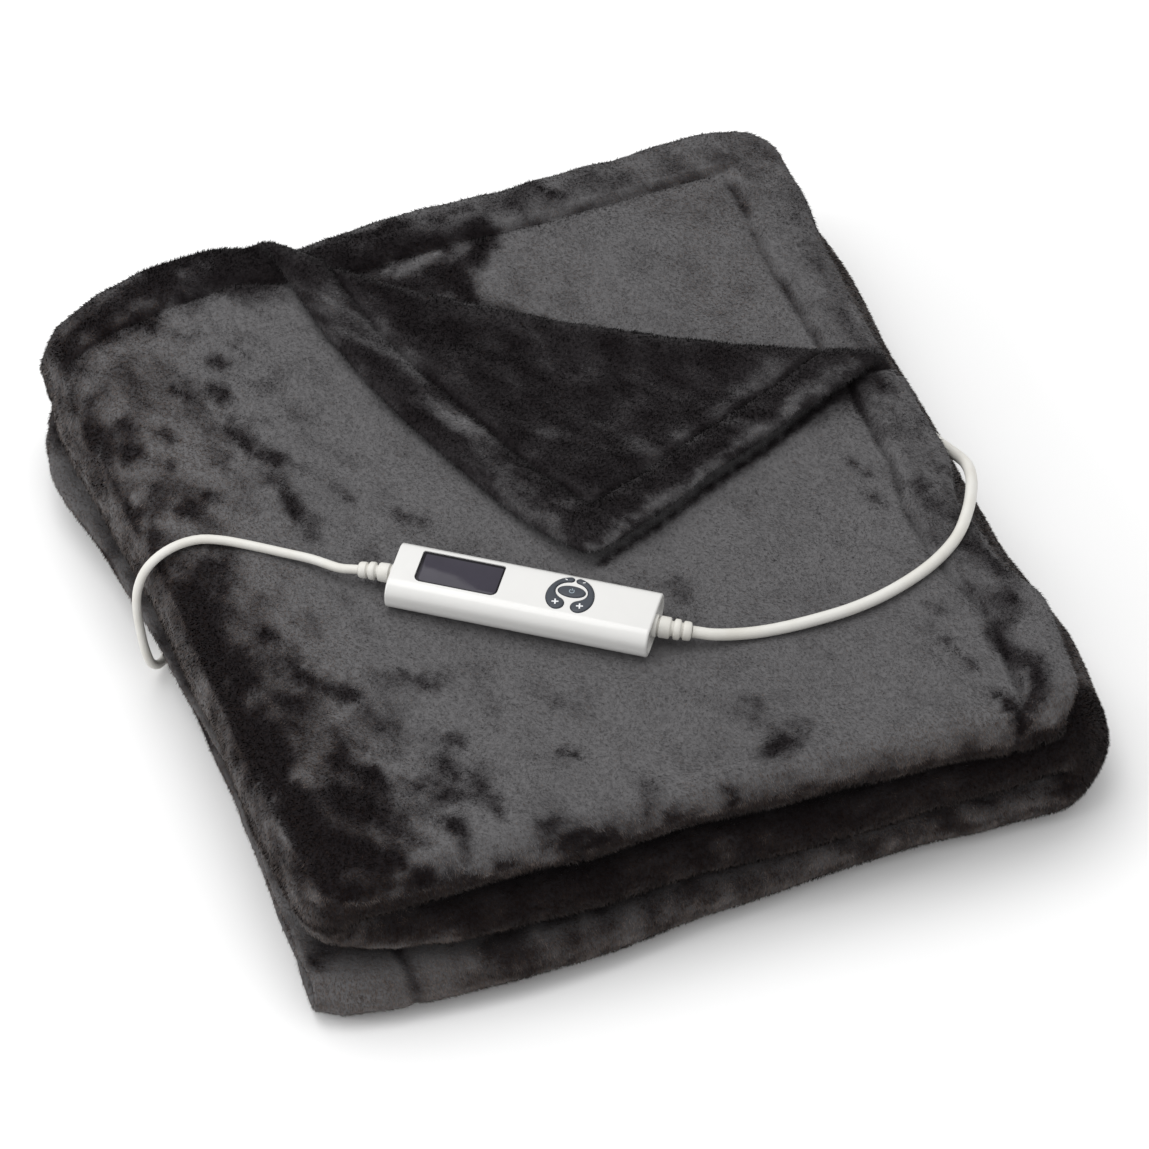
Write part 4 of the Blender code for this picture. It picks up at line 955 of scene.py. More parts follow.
def waves(points, size, seed):
    """A smooth random field by place, about -1 to 1, with features of a given size in metres."""
    rng = np.random.default_rng(seed)
    total = np.zeros(len(points))
    for _ in range(WAVES):
        direction = rng.normal(size=points.shape[1])
        direction *= rng.uniform(*WAVE_SPREAD) * math.pi / size / np.linalg.norm(direction)
        total += np.sin(points @ direction + rng.uniform(0, 2 * math.pi))
    return total * math.sqrt(1.0 / WAVES)


def settled(points, flat):
    """The whole stack's soft unevenness, which all its layers share, and each layer's own."""
    height = np.clip(points[:, 2] / HEAVE_FROM, 0.0, 1.0)
    moved = points.copy()
    moved[:, 0] += WANDER * waves(points, WANDER_SIZE, 21)
    moved[:, 1] += WANDER * waves(points, WANDER_SIZE, 22)
    moved[:, 2] += HEAVE * waves(points[:, :2], HEAVE_SIZE, 23) * height
    moved[:, 2] += RIPPLE * waves(flat, RIPPLE_SIZE, 24) * height
    near_left = past(-points[:, 0], *PINCHED)
    for y, z, along, up, depth in PINCHES:
        nearness = ((points[:, 1] - y) / along) ** 2 + ((points[:, 2] - z) / up) ** 2
        moved[:, 0] += depth * near_left * np.exp(-nearness)
    return moved


def layers(p, s):
    """Which places are on the turned corner, on the top layer's rest and on the one under it."""
    turned = is_flap(p, s)
    return turned, (p < TOP_PANEL) & (s < TOP_RUN) & ~turned, (p < TOP_PANEL) & (s > UNDER_FROM)


def crease_lift(points, p, s):
    """The height of the listed ridges and troughs."""
    turned, top, under = layers(p, s)
    places = {"flap": turned & (to_turn(p, s)[1] > HALF_ROUND), "top": top, "under": under}
    lift = np.zeros(len(points))
    for x0, y0, x1, y1, half_width, height, layer in CREASES:
        away, along = from_segment(points, x0, y0, x1, y1)
        fade = np.sin(math.pi * np.clip(along, 0.02, 0.98)) ** 0.5
        lift += places[layer] * height * fade * bell(away, half_width)
    return lift


def from_segment(points, x0, y0, x1, y1):
    """Distance from a segment in plan, and the share of its length alongside each point."""
    along = np.array((x1 - x0, y1 - y0))
    offset = points[:, :2] - np.array((x0, y0))
    share = np.clip(offset @ along / max(along @ along, 1e-12), 0.0, 1.0)
    return np.hypot(*(offset - share[:, None] * along).T), share


def hem_distance(p, s):
    """Distance in from the nearest edge, with the wide hem brought to the others' width."""
    low = (WIDTH - p) * SIDE_HEM / LOW_HEM
    return np.minimum(np.minimum(p, low), np.minimum(s, LENGTH - s))


def hem_shape(p, s):
    """Share of the hem's fullness and of its stitches' pull, and the rounding of the edge."""
    inward = hem_distance(p, s)
    in_hem = ease((SIDE_HEM - inward) / HEM_RISE) * ease(inward / HEM_FALL)
    edge = np.minimum(np.minimum(p, WIDTH - p), np.minimum(s, LENGTH - s))
    round_off = np.sqrt(np.maximum(1 - (1 - np.clip(edge / EDGE_ROUND, 0, 1)) ** 2, EDGE_LEAST))
    return in_hem, bell(inward - SIDE_HEM, STITCH_REACH), round_off


def half_thickness(p, s, way):
    """Half the sheet's thickness on its face (1) or back (-1): its hems are fuller where they are
    free, drawn in by their stitches, and round-edged."""
    in_hem, stitch, round_off = hem_shape(p, s)
    turned, top, under = layers(p, s)
    free = top if way > 0 else (turned | under)
    fullness = np.where(free, FREE_FULLNESS, HEM_FULLNESS)
    half = HALF * (1 + fullness * in_hem) * (1 - STITCH_DEPTH * stitch) * round_off
    return half - STITCH_SINK * stitch * free


def stations(total, hems, marks, steps):
    """Places of the grid's lines: even steps between marks, and more at both edges and stitches."""
    low, high = [[*EDGE_STEPS, *(hem + offset for offset in STITCH_STEPS)] for hem in hems]
    fixed = low + [total - place for place in high]
    places = []
    for start, end, step in zip(marks, marks[1:], steps):
        count = max(1, round((end - start) / step))
        places += [start + (end - start) * i / count for i in range(count)]
    places = [q for q in places if min(abs(q - other) for other in fixed) > LEAST_STEP]
    return np.array(sorted(places + fixed))


def sheet_grid():
    """Places of the grid's lines across the sheet and along it."""
    edge = EDGE_STEPS[-1]
    ends, turns = np.cumsum(PANEL_LENGTHS)[:-1], np.cumsum(RUN_LENGTHS)[:-1]
    across = stations(WIDTH, (SIDE_HEM, LOW_HEM), (edge, *ends, WIDTH - edge), PANEL_STEPS)
    along = stations(LENGTH, (SIDE_HEM, SIDE_HEM), (edge, *turns, LAST_FINE, LENGTH - edge),
                     RUN_STEPS)
    return across, along


def sheet_faces(rows, columns):
    """Quads of the face side, the back side and the rim between them."""
    count = rows * columns
    index = np.arange(count).reshape(rows, columns)
    face = np.stack((index[:-1, :-1], index[:-1, 1:], index[1:, 1:], index[1:, :-1]), axis=-1)
    face = face.reshape(-1, 4)
    loop = np.concatenate((index[0, :], index[1:, -1], index[-1, -2::-1], index[-2:0:-1, 0]))
    after = np.roll(loop, -1)
    rim = np.stack((after, loop, loop + count, after + count), axis=-1)
    return face, face[:, ::-1] + count, rim


def sheet_surface():
    """Points, flat places and faces of the whole closed sheet."""
    across, along = sheet_grid()
    p, s = (grid.ravel() for grid in np.meshgrid(across, along))
    rows, columns = len(along), len(across)
    middle = folded(p, s)
    flat = np.stack((p, s), axis=-1)
    shape = middle.reshape(rows, columns, 3)
    normal = unit(np.cross(np.gradient(shape, across, axis=1),
                           np.gradient(shape, along, axis=0)).reshape(-1, 3))
    lift = crease_lift(middle, p, s)[:, None] * np.array((0.0, 0.0, 1.0))
    sides = [settled(middle + normal * half_thickness(p, s, way)[:, None] * way, flat) + lift
             for way in (1, -1)]
    return np.concatenate(sides), np.concatenate((flat, flat)), sheet_faces(rows, columns)


def make_sheet(finish):
    points, flat, (face, back, rim) = sheet_surface()
    mesh = mesh_from_arrays("plush_throw", points, np.concatenate((face, back, rim)))
    # The nap attribute holds darkness(): the nap's patches, with painted shade and highlights.
    nap = mesh.attributes.new("nap", "FLOAT", "POINT")
    nap.data.foreach_set("value", darkness(points, flat).astype(np.float32))
    lay_out_flat(mesh, flat, len(flat) // 2, len(face))
    item = keep(link(mesh, "plush_throw", finish), nodes=("blanket",))
    return item, points, flat, np.concatenate((face, back))


def lay_out_flat(mesh, flat, count, side_faces):
    """The sheet's flat cut as its UV map: face side below, back side above, the rim between."""
    chart = mesh.uv_layers.new(name="OFBake")
    corner = np.empty(len(mesh.loops), dtype=np.int32)
    mesh.loops.foreach_get("vertex_index", corner)
    long = 1 - 2 * CHART_EDGE
    u = CHART_EDGE + long * flat[corner, 1] / LENGTH
    across = CHART_SIDE * (flat[corner, 0] / WIDTH)
    v = np.where(corner < count, CHART_EDGE + across, 1 - CHART_EDGE - across)
    on_rim = np.arange(len(corner)) >= 8 * side_faces
    edge = np.arange(on_rim.sum())
    u[on_rim] = CHART_EDGE + long * (edge // 4 + np.isin(edge % 4, (0, 3))) / (len(edge) / 4)
    v[on_rim] = np.where(corner[on_rim] >= count, 1 - CHART_RIM, CHART_RIM)
    chart.data.foreach_set("uv", np.stack((u, v), axis=-1).astype(np.float32).ravel())


# ---- the nap, with painted shade and highlights ----

def drawn(points, strokes):
    """Each stroke's strength at each place, in plan."""
    for x0, y0, x1, y1, reach, strength in strokes:
        yield strength * bell(from_segment(points, x0, y0, x1, y1)[0], reach)


def strongest(points, strokes):
    best = np.zeros(len(points))
    for stroke in drawn(points, strokes):
        best = np.maximum(best, stroke)
    return best


def frayed(points, size, amount, seed):
    """The places moved about in plan, which frays the outlines of what is drawn there."""
    moved = points.copy()
    moved[:, 0] += amount * waves(points, size, seed)
    moved[:, 1] += amount * waves(points, size, seed + 1)
    return moved


def streaks(points, size, seed, width=STREAK_DRAWN):
    """A random field drawn out along the nap."""
    x, y, z = points.T
    along = x * STREAK_WAY[0] + y * STREAK_WAY[1]
    across = y * STREAK_WAY[0] - x * STREAK_WAY[1]
    return waves(np.stack((width * along, across, z), axis=-1), size, seed)


def side_shade(points):
    """Painted shade on the sides: the front, the left side and the others have their own bands, with
    painted shade between the left side's layers and on the right front corner.
    """
    x, y, z = points.T
    front = past(-y, *FRONT_SIDE)
    left = past(-x, *LEFT_SIDE) * (1 - front)
    pale = past(-x, *PALE_CORNER[0]) * past(-z, *PALE_CORNER[1])
    # The right front corner, painted dark as shade.
    corner = past(x, *SHADED_CORNER[0]) * past(-y, *SHADED_CORNER[1]) * (z < CORNER_TO)
    value = (front * eased(SIDE_SHADE_BANDS, z, 1) * (1 - PALE_SHARE * pale)
             + left * eased(SIDE_SHADE_BANDS, z, 2))
    value += (1 - front - left) * eased(SIDE_SHADE_BANDS, z, 3)
    # Painted shade in the crevices between the left side's layers.
    lines = sum(strength * bell(z - height - LINE_WANDER * waves(points, LINE_WAVES, seed), reach)
                for seed, (height, reach, strength) in enumerate(LAYER_SHADE_LINES, 81))
    return np.maximum(value + left * lines, CORNER_SHADE * corner)


def mottling(points, turned):
    """How lively the nap's patches are at each place, and the patches, about -1 to 1."""
    top, low = (least + past(-points[:, 0], *more) for least, more in (LIVELY_TOP, LIVELY_LOW))
    lively = np.where(turned, LIVELY_FLAP, np.where(points[:, 2] < CORNER_TO, low, top))
    rough = sum(share * streaks(points, size, seed)
                for seed, (share, size) in enumerate(PATCHES, 31))
    return lively, rough


def darkness(points, flat):
    """How dark each place looks, 0 to 1: from the way its nap lies, with painted shade on the sides,
    at the front lip, between the layers, along the stitches and under the turned corner's edge, and
    painted highlights along that corner's rolled edges.
    """
    turned = is_flap(*flat.T)
    upper = (points[:, 2] > UPPER_FROM) & ~turned
    loose = points
    for fray in ZONE_FRAY:
        loose = frayed(loose, *fray)
    brushed = frayed(loose, *STROKE_FRAY)
    # The top's nap zones, and below SIDES_TO the painted shade of the sides.
    base = np.maximum(np.where(upper, strongest(loose, DARK_ZONES), 0.0),
                      np.where(points[:, 2] < SIDES_TO, side_shade(points), TOP_DARK))
    # The turned corner: its own darker nap, with painted highlights along its rolled edges.
    base = np.where(turned, FLAP_DARK + sum(drawn(loose, FLAP_HIGHLIGHTS_AND_NAP)), base)
    from_stitch = SIDE_HEM - hem_distance(*flat.T)
    base = np.clip(base + HEM_DARK * ease(from_stitch / HEM_FADE), 0.0, 1.0)
    lively, rough = mottling(points, turned)
    value = base + rough * (lively + ZONE_ROUGH * base * (ZONE_PEAK - base) * ~turned)
    strokes = strongest(brushed, [(*row[:4], STROKE_WIDER * row[4], STROKE_WEAKER * row[5])
                                  for row in DARK_NAP])
    strokes = strokes * (1.0 + STROKE_ROUGH * rough) - strongest(brushed, LIGHT_NAP)
    # Painted shadow under the turned corner's edge is added here.
    value = value + upper * (strokes + strongest(points, FLAP_SHADOW))
    least, more, size = BROKEN
    broken = least + more * waves(points, size, 71)
    # Painted shade along the stitches' groove, in a broken line.
    return np.clip(value + STITCH_SHADE * broken * bell(from_stitch, STITCH_BAND), 0.0, 1.0)


def warmth(points):
    """Share of brownish pile: at the sides, near the left edge and over the front edge."""
    x, y, z = points.T
    share = np.maximum(past(-x, *WARM_LEFT), past(-y, *WARM_FRONT))
    return np.clip(np.maximum(share, past(-z, *WARM_LOW)), *WARM_LIMITS)


# ---- the pile ----

def ray_fan():
    """Directions over a half sphere, as shares (along, across, up): straight up, steep and low."""
    fan = [(0.0, 0.0, 1.0)]
    for rise, count, start in RAYS:
        level, up = math.cos(math.radians(rise)), math.sin(math.radians(rise))
        turns = [start + 2 * math.pi * i / count for i in range(count)]
        fan += [(level * math.cos(turn), level * math.sin(turn), up) for turn in turns]
    return fan


def openness(points, faces, normals):
    """Share of the half sphere over each face that nothing near hides."""
    tree = BVHTree.FromPolygons(points.tolist(), faces.tolist())
    centres = points[faces].mean(axis=1)
    up = unit(normals[faces].mean(axis=1))
    helper = np.where(np.abs(up[:, 2:3]) > STEEP, np.array((1.0, 0.0, 0.0)),
                      np.array((0.0, 0.0, 1.0)))
    along = unit(np.cross(up, helper))
    across = np.cross(up, along)
    start = centres + up * RAY_LIFT
    seen = np.zeros(len(faces))
    fan = ray_fan()
    for a, b, c in fan:
        ways = along * a + across * b + up * c
        # A face with something straight over it is tried again only by the low rays.
        for index in np.flatnonzero(seen) if STEEP < c < 1.0 else range(len(faces)):
            hit = tree.ray_cast(Vector(start[index]), Vector(ways[index]), RAY_REACH)
            if hit[0] is None and (ways[index][2] > RAY_DOWN or start[index][2] > NEAR_FLOOR):
                seen[index] += 1
    seen[under_case(centres) | (centres[:, 2] < ON_FLOOR)] = 0.0
    return seen / len(fan)


def under_case(places):
    """Which places the handset lies on."""
    to_case = np.linalg.inv(np.array(case_place())).T
    u, v, up, _ = (np.column_stack((places, np.ones(len(places)))) @ to_case).T
    ends, sides, below, above = CASE_SHADE
    return ((np.abs(u) < CASE_LENGTH / 2 - ends) & (np.abs(v) < CASE_WIDTH / 2 - sides)
            & (up > -below) & (up < above))


def blade_roots(points, faces, normals, flat, seen):
    """Stratified random places on the open faces, with their normals and flat places."""
    rng = np.random.default_rng(BLADE_SEED)
    a, b, c, d = (points[faces[:, k]] for k in range(4))
    area = 0.5 * np.linalg.norm(np.cross(c - a, d - b), axis=1)
    want = np.where(seen > LEAST_OPEN, area * (SHADED + (1 - SHADED) * seen), 0.0)
    want *= BLADES / want.sum()
    counts = np.floor(want + rng.random(len(want))).astype(int)
    owner = np.repeat(np.arange(len(faces)), counts)
    u = rng.random((len(owner), 1))
    v = rng.random((len(owner), 1))
    shares = ((1 - u) * (1 - v), u * (1 - v), u * v, (1 - u) * v)

    def blend(values):
        return sum(share * values[faces[owner, k]] for k, share in enumerate(shares))

    return blend(points), unit(blend(normals)), blend(flat), rng


def blade_ways(roots, up, dark, rng):
    """The way that each blade points: brushed down the stack, and at odds where it is dark, in dark
    nap and in painted shade.
    """
    count = len(roots)
    lean = np.column_stack((DRIFT * waves(roots, DRIFT_SIZE, 41), np.full((count, 2), BRUSHED)))
    lean = unit(lean - up * (lean * up).sum(axis=1, keepdims=True))
    side = np.cross(up, lean)
    swing = np.radians(rng.normal(0.0, SWING, count) + DARK_SWING * dark * rng.normal(size=count))
    lean = lean * np.cos(swing)[:, None] + side * np.sin(swing)[:, None]
    rise = RISE + DARK_RISE * dark + rng.normal(0.0, RISE_SPREAD, count)
    rise = np.radians(np.clip(rise, *RISE_LIMITS))
    return lean * np.cos(rise)[:, None] + up * np.sin(rise)[:, None]


def blade_shapes(roots, up, flat, rng):
    """Three corners, a normal and a tone for each blade of the pile."""
    count = len(roots)
    # Tones from darkness(): the nap's patches, with painted shade and highlights.
    dark = darkness(roots, flat)
    along = blade_ways(roots, up, dark, rng)
    stitch = bell(hem_distance(*flat.T) - SIDE_HEM, STITCH_REACH)
    length = BLADE_LENGTH * rng.uniform(*LENGTHS, count) * (1 - STITCH_SHORT * stitch)
    wide = unit(np.cross(along, up) + TWIST * rng.normal(size=(count, 3)))
    wide *= (BLADE_WIDTH / 2 * rng.uniform(*WIDTHS, count))[:, None]
    base = roots - up * BLADE_DEEP
    corners = np.stack((base + wide, base - wide, base + along * length[:, None]), axis=1)
    facing = np.cross(corners[:, 1] - corners[:, 0], corners[:, 2] - corners[:, 0])
    wrong = (facing * up).sum(axis=1) < 0
    corners[wrong] = corners[wrong][:, (1, 0, 2)]
    normal = unit(up + NORMAL_LEAN * along + NORMAL_SPREAD * rng.normal(size=(count, 3)))
    clumps = sum(amount * streaks(roots, size, seed, CLUMP_DRAWN) for amount, size, seed in CLUMPS)
    tone = dark - TONE_SHIFT + clumps + rng.normal(0.0, TONE_SPREAD, count)
    warm = rng.random(count) < warmth(roots)
    return corners, normal, 0.5 * np.clip(tone, 0.0, TONE_MOST) + 0.5 * warm


def pile_piece(name, corners, normals, tones, finish):
    count = len(corners)
    mesh = mesh_from_arrays(name, corners.reshape(-1, 3), np.arange(3 * count).reshape(-1, 3))
    spots = np.empty((count, 3, 2), dtype=np.float32)
    spots[:, :, 0] = tones[:, None] + np.array(BLADE_U)
    spots[:, :, 1] = np.array(BLADE_V)
    mesh.uv_layers.new(name="OFBake").data.foreach_set("uv", spots.ravel())
    mesh.normals_split_custom_set_from_vertices(np.repeat(normals, 3, axis=0))
    return keep(link(mesh, name, finish))


def make_pile(finish, sheet, points, flat, faces):
    """Short blades all over the sheet's open faces, in pieces of a size that can be stored."""
    normals = np.empty(len(points) * 3, dtype=np.float32)
    sheet.data.vertex_normals.foreach_get("vector", normals)
    normals = normals.reshape(-1, 3).astype(float)
    seen = openness(points, faces, normals)
    roots, up, spots, rng = blade_roots(points, faces, normals, flat, seen)
    blades = blade_shapes(roots, up, spots, rng)
    high = roots[:, 2] > LOW_TO
    left = roots[:, 0] < np.median(roots[high, 0])
    front = roots[:, 1] < 0.0
    regions = {"pile_top_left": high & left, "pile_top_right": high & ~left,
               "pile_low_front": ~high & front, "pile_low_back": ~high & ~front}
    pieces = []
    for name, region in regions.items():
        chosen = np.flatnonzero(region)
        for part, first in enumerate(range(0, len(chosen), MOST_BLADES)):
            some = chosen[first:first + MOST_BLADES]
            label = name if part == 0 else "%s_%d" % (name, part + 1)
            pieces.append(pile_piece(label, *(values[some] for values in blades), finish))
    return pieces


# ---- the handset ----

def case_place():
    """Frame of the handset: u, v and up, at the middle of the case's underside."""
    turn = Matrix.Rotation(CASE_ANGLE, 4, "Z")
    return Matrix.Translation((CASE_CENTRE[0], CASE_CENTRE[1], TOP_Z + GAP)) @ turn


def rounded_outline(size, radii, steps=5):
    """Points of a rectangle with a radius at each corner, from the near left, going round."""
    half_u, half_v = size[0] / 2, size[1] / 2
    corners = ((-1, -1, 180), (1, -1, 270), (1, 1, 0), (-1, 1, 90))
    points = []
    for (side_u, side_v, start), radius in zip(corners, radii):
        centre = Vector((side_u * (half_u - radius), side_v * (half_v - radius)))
        for i in range(steps + 1):
            angle = math.radians(start + 90 * i / steps)
            points.append(centre + radius * Vector((math.cos(angle), math.sin(angle))))
    return points


def power_outline(grow, steps=48):
    u, v = (axis + grow for axis in POWER_AXES)
    turns = [2 * math.pi * i / steps for i in range(steps)]
    return [Vector((u * math.cos(a), v * math.sin(a))) for a in turns]


def crescent_spine(grow):
    spine = []
    for i in range(CRESCENT_STEPS + 1):
        share = i / CRESCENT_STEPS
        angle = math.radians(SPINE_FROM + (SPINE_TO - SPINE_FROM) * share)
        centre = Vector((SPINE_AXES[0] * math.cos(angle),
                         SPINE_V + SPINE_AXES[1] * math.sin(angle)))
        swelling = CRESCENT_THIN + (CRESCENT_THICK - CRESCENT_THIN) * float(ease(share)) ** 3
        swelling += CRESCENT_TIP * (1.0 - share) ** 3
        spine.append((centre, swelling + grow))
    return spine


def crescent_outline(side, grow):
    """Outline of a crescent key: thin at its far end, swelling to a round lobe near the user."""
    spine = crescent_spine(grow)
    outer, inner = [], []
    for i, (centre, width) in enumerate(spine):
        ahead = spine[min(i + 1, CRESCENT_STEPS)][0] - spine[max(i - 1, 0)][0]
        normal = Vector((ahead.y, -ahead.x)).normalized()
        outer.append(centre - normal * width)
        inner.append(centre + normal * width)
    points = outer + end_cap(spine[-1], spine[-2][0], 9)
    points += inner[::-1] + end_cap(spine[0], spine[1][0], 5)
    return [Vector((-side * point.x, point.y)) for point in points][::side]


def end_cap(end, before, steps):
    """Points round the end of a crescent, between its outer and inner line."""
    centre, width = end
    out = (centre - before).normalized()
    across = Vector((-out.y, out.x))
    turns = [math.pi * i / (steps + 1) for i in range(1, steps + 1)]
    return [centre - width * (across * -math.cos(a) - out * math.sin(a)) for a in turns]


def loft(name, rings, finish, place, sharp=40):
    """A closed form through rings of the same number of points, from its base to its top."""
    bm = bmesh.new()
    loops = [[bm.verts.new(point) for point in ring] for ring in rings]
    count = len(loops[0])
    for low, high in zip(loops, loops[1:]):
        for i in range(count):
            after = (i + 1) % count
            bm.faces.new((low[i], low[after], high[after], high[i]))
    bm.faces.new(loops[0][::-1])
    bm.faces.new(loops[-1])
    return link(mesh_from(bm, name, sharp), name, finish, place)


def rings_from(outlines, heights):
    return [[(point.x, point.y, height) for point in outline]
            for outline, height in zip(outlines, heights)]


def plate(name, outline, low, high, finish, place, edge=0.0):
    """A flat outline given a thickness between two heights, its upper edge rounded by edge."""
    flat = [Vector(point) for point in outline]
    middle = sum(flat, Vector((0.0, 0.0))) / len(flat)
    outlines, heights = [flat, flat], [low, high - edge]
    if edge:
        for share in (0.3, 0.7, 1.0):
            inset = edge * (1 - math.cos(share * math.pi / 2))
            outlines.append(shrunk(flat, inset, middle))
            heights.append(high - edge + edge * math.sin(share * math.pi / 2))
    return loft(name, rings_from(outlines, heights), finish, place)


def shrunk(outline, inset, middle):
    """The outline moved in from each side by about the same distance."""
    reach = max((point - middle).length for point in outline)
    return [middle + (point - middle) * (1 - inset / max((point - middle).length, 0.5 * reach))
            for point in outline]


def apply_all(item):
    """The item's modifiers, made part of its mesh."""
    shape = item.evaluated_get(bpy.context.evaluated_depsgraph_get())
    mesh = bpy.data.meshes.new_from_object(shape)
    item.modifiers.clear()
    item.data = mesh
    return item


def sharpened(item, sharp=30):
    item.data.shade_smooth()
    item.data.set_sharp_from_angle(angle=math.radians(sharp))
    return item


def cut(item, cutters):
    for cutter in cutters:
        carve = item.modifiers.new("cut", "BOOLEAN")
        carve.operation = "DIFFERENCE"
        carve.solver = "EXACT"
        carve.object = cutter
    return sharpened(apply_all(item))


def rounded_bar(name, low, high, finish, place):
    """The case's full rounded form, kept between two heights."""
    bm = bmesh.new()
    bmesh.ops.create_cube(bm, size=1.0)
    bmesh.ops.scale(bm, vec=(CASE_LENGTH, CASE_WIDTH, CASE_HEIGHT), verts=bm.verts)
    bmesh.ops.translate(bm, vec=(0, 0, CASE_HEIGHT / 2), verts=bm.verts)
    rounding = {"profile": 0.5, "affect": "EDGES"}
    long_edges = [e for e in bm.edges if abs(e.verts[0].co.x - e.verts[1].co.x) > CASE_LENGTH / 2]
    bmesh.ops.bevel(bm, geom=long_edges, offset=CASE_ROUND, segments=14, **rounding)
    ends = [e for e in bm.edges if abs(e.verts[0].co.x - e.verts[1].co.x) < 1e-6
            and len({round(f.normal.x) for f in e.link_faces}) == 2]
    bmesh.ops.bevel(bm, geom=ends, offset=CASE_END_ROUND, segments=5, **rounding)
    for height, keep_above in ((low, True), (high, False)):
        if 0 < height < CASE_HEIGHT:
            geom = list(bm.verts) + list(bm.edges) + list(bm.faces)
            result = bmesh.ops.bisect_plane(bm, geom=geom, plane_co=(0, 0, height),
                                            plane_no=(0, 0, 1), clear_inner=keep_above,
                                            clear_outer=not keep_above)
            rim = [g for g in result["geom_cut"] if isinstance(g, bmesh.types.BMEdge)]
            bmesh.ops.contextual_create(bm, geom=rim)
    return link(mesh_from(bm, name, 30), name, finish, place)


def end_recess_cutter(side, place):
    """The shallow dish in an end of the case, round the strain relief."""
    outline = rounded_outline((CASE_WIDTH - 2 * END_RIM, CASE_HEIGHT - 2 * END_RIM),
                              (CASE_ROUND - END_RIM,) * 4, 10)
    turn = Matrix(((0, 0, 1, 0), (1, 0, 0, 0), (0, 1, 0, 0), (0, 0, 0, 1)))
    centre = Matrix.Translation((side * CASE_LENGTH / 2, 0, CASE_HEIGHT / 2))
    return plate("cutter", outline, -END_RECESS, END_RECESS, None, place @ centre @ turn)


def at_feature(u, v):
    return case_place() @ Matrix.Translation((u, v + FEATURES_V, 0))


def window_outline(inset=0.0):
    size = (WINDOW_SIZE[0] - 2 * inset, WINDOW_SIZE[1] - 2 * inset)
    near = WINDOW_NEAR_R - CORNER_SHARE * inset
    far = max(WINDOW_FAR_R - CORNER_SHARE * inset, CORNER_LEAST)
    return rounded_outline(size, (near, near, far, far), 8)


def make_case(finish):
    """The two halves of the case, with the places for the window, the keys and the reliefs."""
    place = case_place()
    seam = CASE_HEIGHT * CASE_SPLIT
    top = rounded_bar("handset_top", seam + SEAM_GAP / 2, CASE_HEIGHT, finish, place)
    bottom = rounded_bar("handset_bottom", 0.0, seam - SEAM_GAP / 2, finish, place)
    recesses = [end_recess_cutter(side, place) for side in (-1, 1)]
    key_low = CASE_HEIGHT + KEY_PROUD - KEY_HEIGHT - KEY_FLOOR
    window_low = CASE_HEIGHT - WINDOW_SINK - WINDOW_THICK - GAP
    wells = [(window_outline(-WINDOW_FIT), window_low, WINDOW_U, 0.0)]
    wells += [(crescent_outline(side, KEY_FIT), key_low, KEYS_U, 0.0) for side in (1, -1)]
    wells.append((power_outline(KEY_FIT), key_low, KEYS_U, POWER_V))
    pockets = [plate("cutter", outline, low, CASE_HEIGHT + CUT_CLEAR, None, at_feature(u, v))
               for outline, low, u, v in wells]
    cut(top, recesses + pockets)
    cut(bottom, recesses)
    for cutter in recesses + pockets:
        bpy.data.objects.remove(cutter, do_unlink=True)
    keep(top, nodes=("case_top",))
    keep(bottom, nodes=("case_bottom",))


def make_window(frame_finish, glass_finish):
    """The dark pane: a near-black border, and the tinted glass a little below it."""
    place = at_feature(WINDOW_U, 0.0)
    top = CASE_HEIGHT - WINDOW_SINK
    pane = plate("window_frame", window_outline(), top - WINDOW_THICK, top, frame_finish, place,
                 PANE_EDGE)
    keep(pane, nodes=("display_window",))
    glass = plate("window_glass", window_outline(GLASS_INSET), top - GLASS_SINK, top + GLASS_PROUD,
                  glass_finish, place @ Matrix.Translation(GLASS_SHIFT), GLASS_EDGE)
    keep(glass)


KEY_ROUND = mm(
    (0, 0.9), (0.12, 0.45), (0.4, 0.16), (0.8, 0.04), (1.15, 0))


def make_key(name, node, body, outline, v, finish):
    """A key with a rounded rim and a slightly domed top; outline gives its shape for an inset."""
    top = CASE_HEIGHT + KEY_PROUD
    outlines = [outline(0.0)] + [outline(-inset) for inset, _ in KEY_ROUND]
    heights = [top - KEY_HEIGHT] + [top - drop for _, drop in KEY_ROUND]
    item = loft(name, rings_from(outlines, heights), finish, at_feature(KEYS_U, v), 60)
    return keep(item, body, nodes=(node,))


def printed(name, outline, centre, turn, body, finish, v=0.0):
    """A thin printed mark on a key."""
    low = CASE_HEIGHT + KEY_PROUD - MARK_SINK
    place = at_feature(KEYS_U, v) @ Matrix.Translation((*centre, 0)) @ Matrix.Rotation(turn, 4, "Z")
    return keep(plate(name, outline, low, low + MARK_THICK, finish, place), body)


def bar_outline(size):
    return rounded_outline(size, (0.3 * min(size),) * 4, 3)


def cross_outline(reach, half):
    quarter = ((reach, -half), (reach, half), (half, half))
    return [Matrix.Rotation(i * math.pi / 2, 2) @ Vector(p) for i in range(4) for p in quarter]


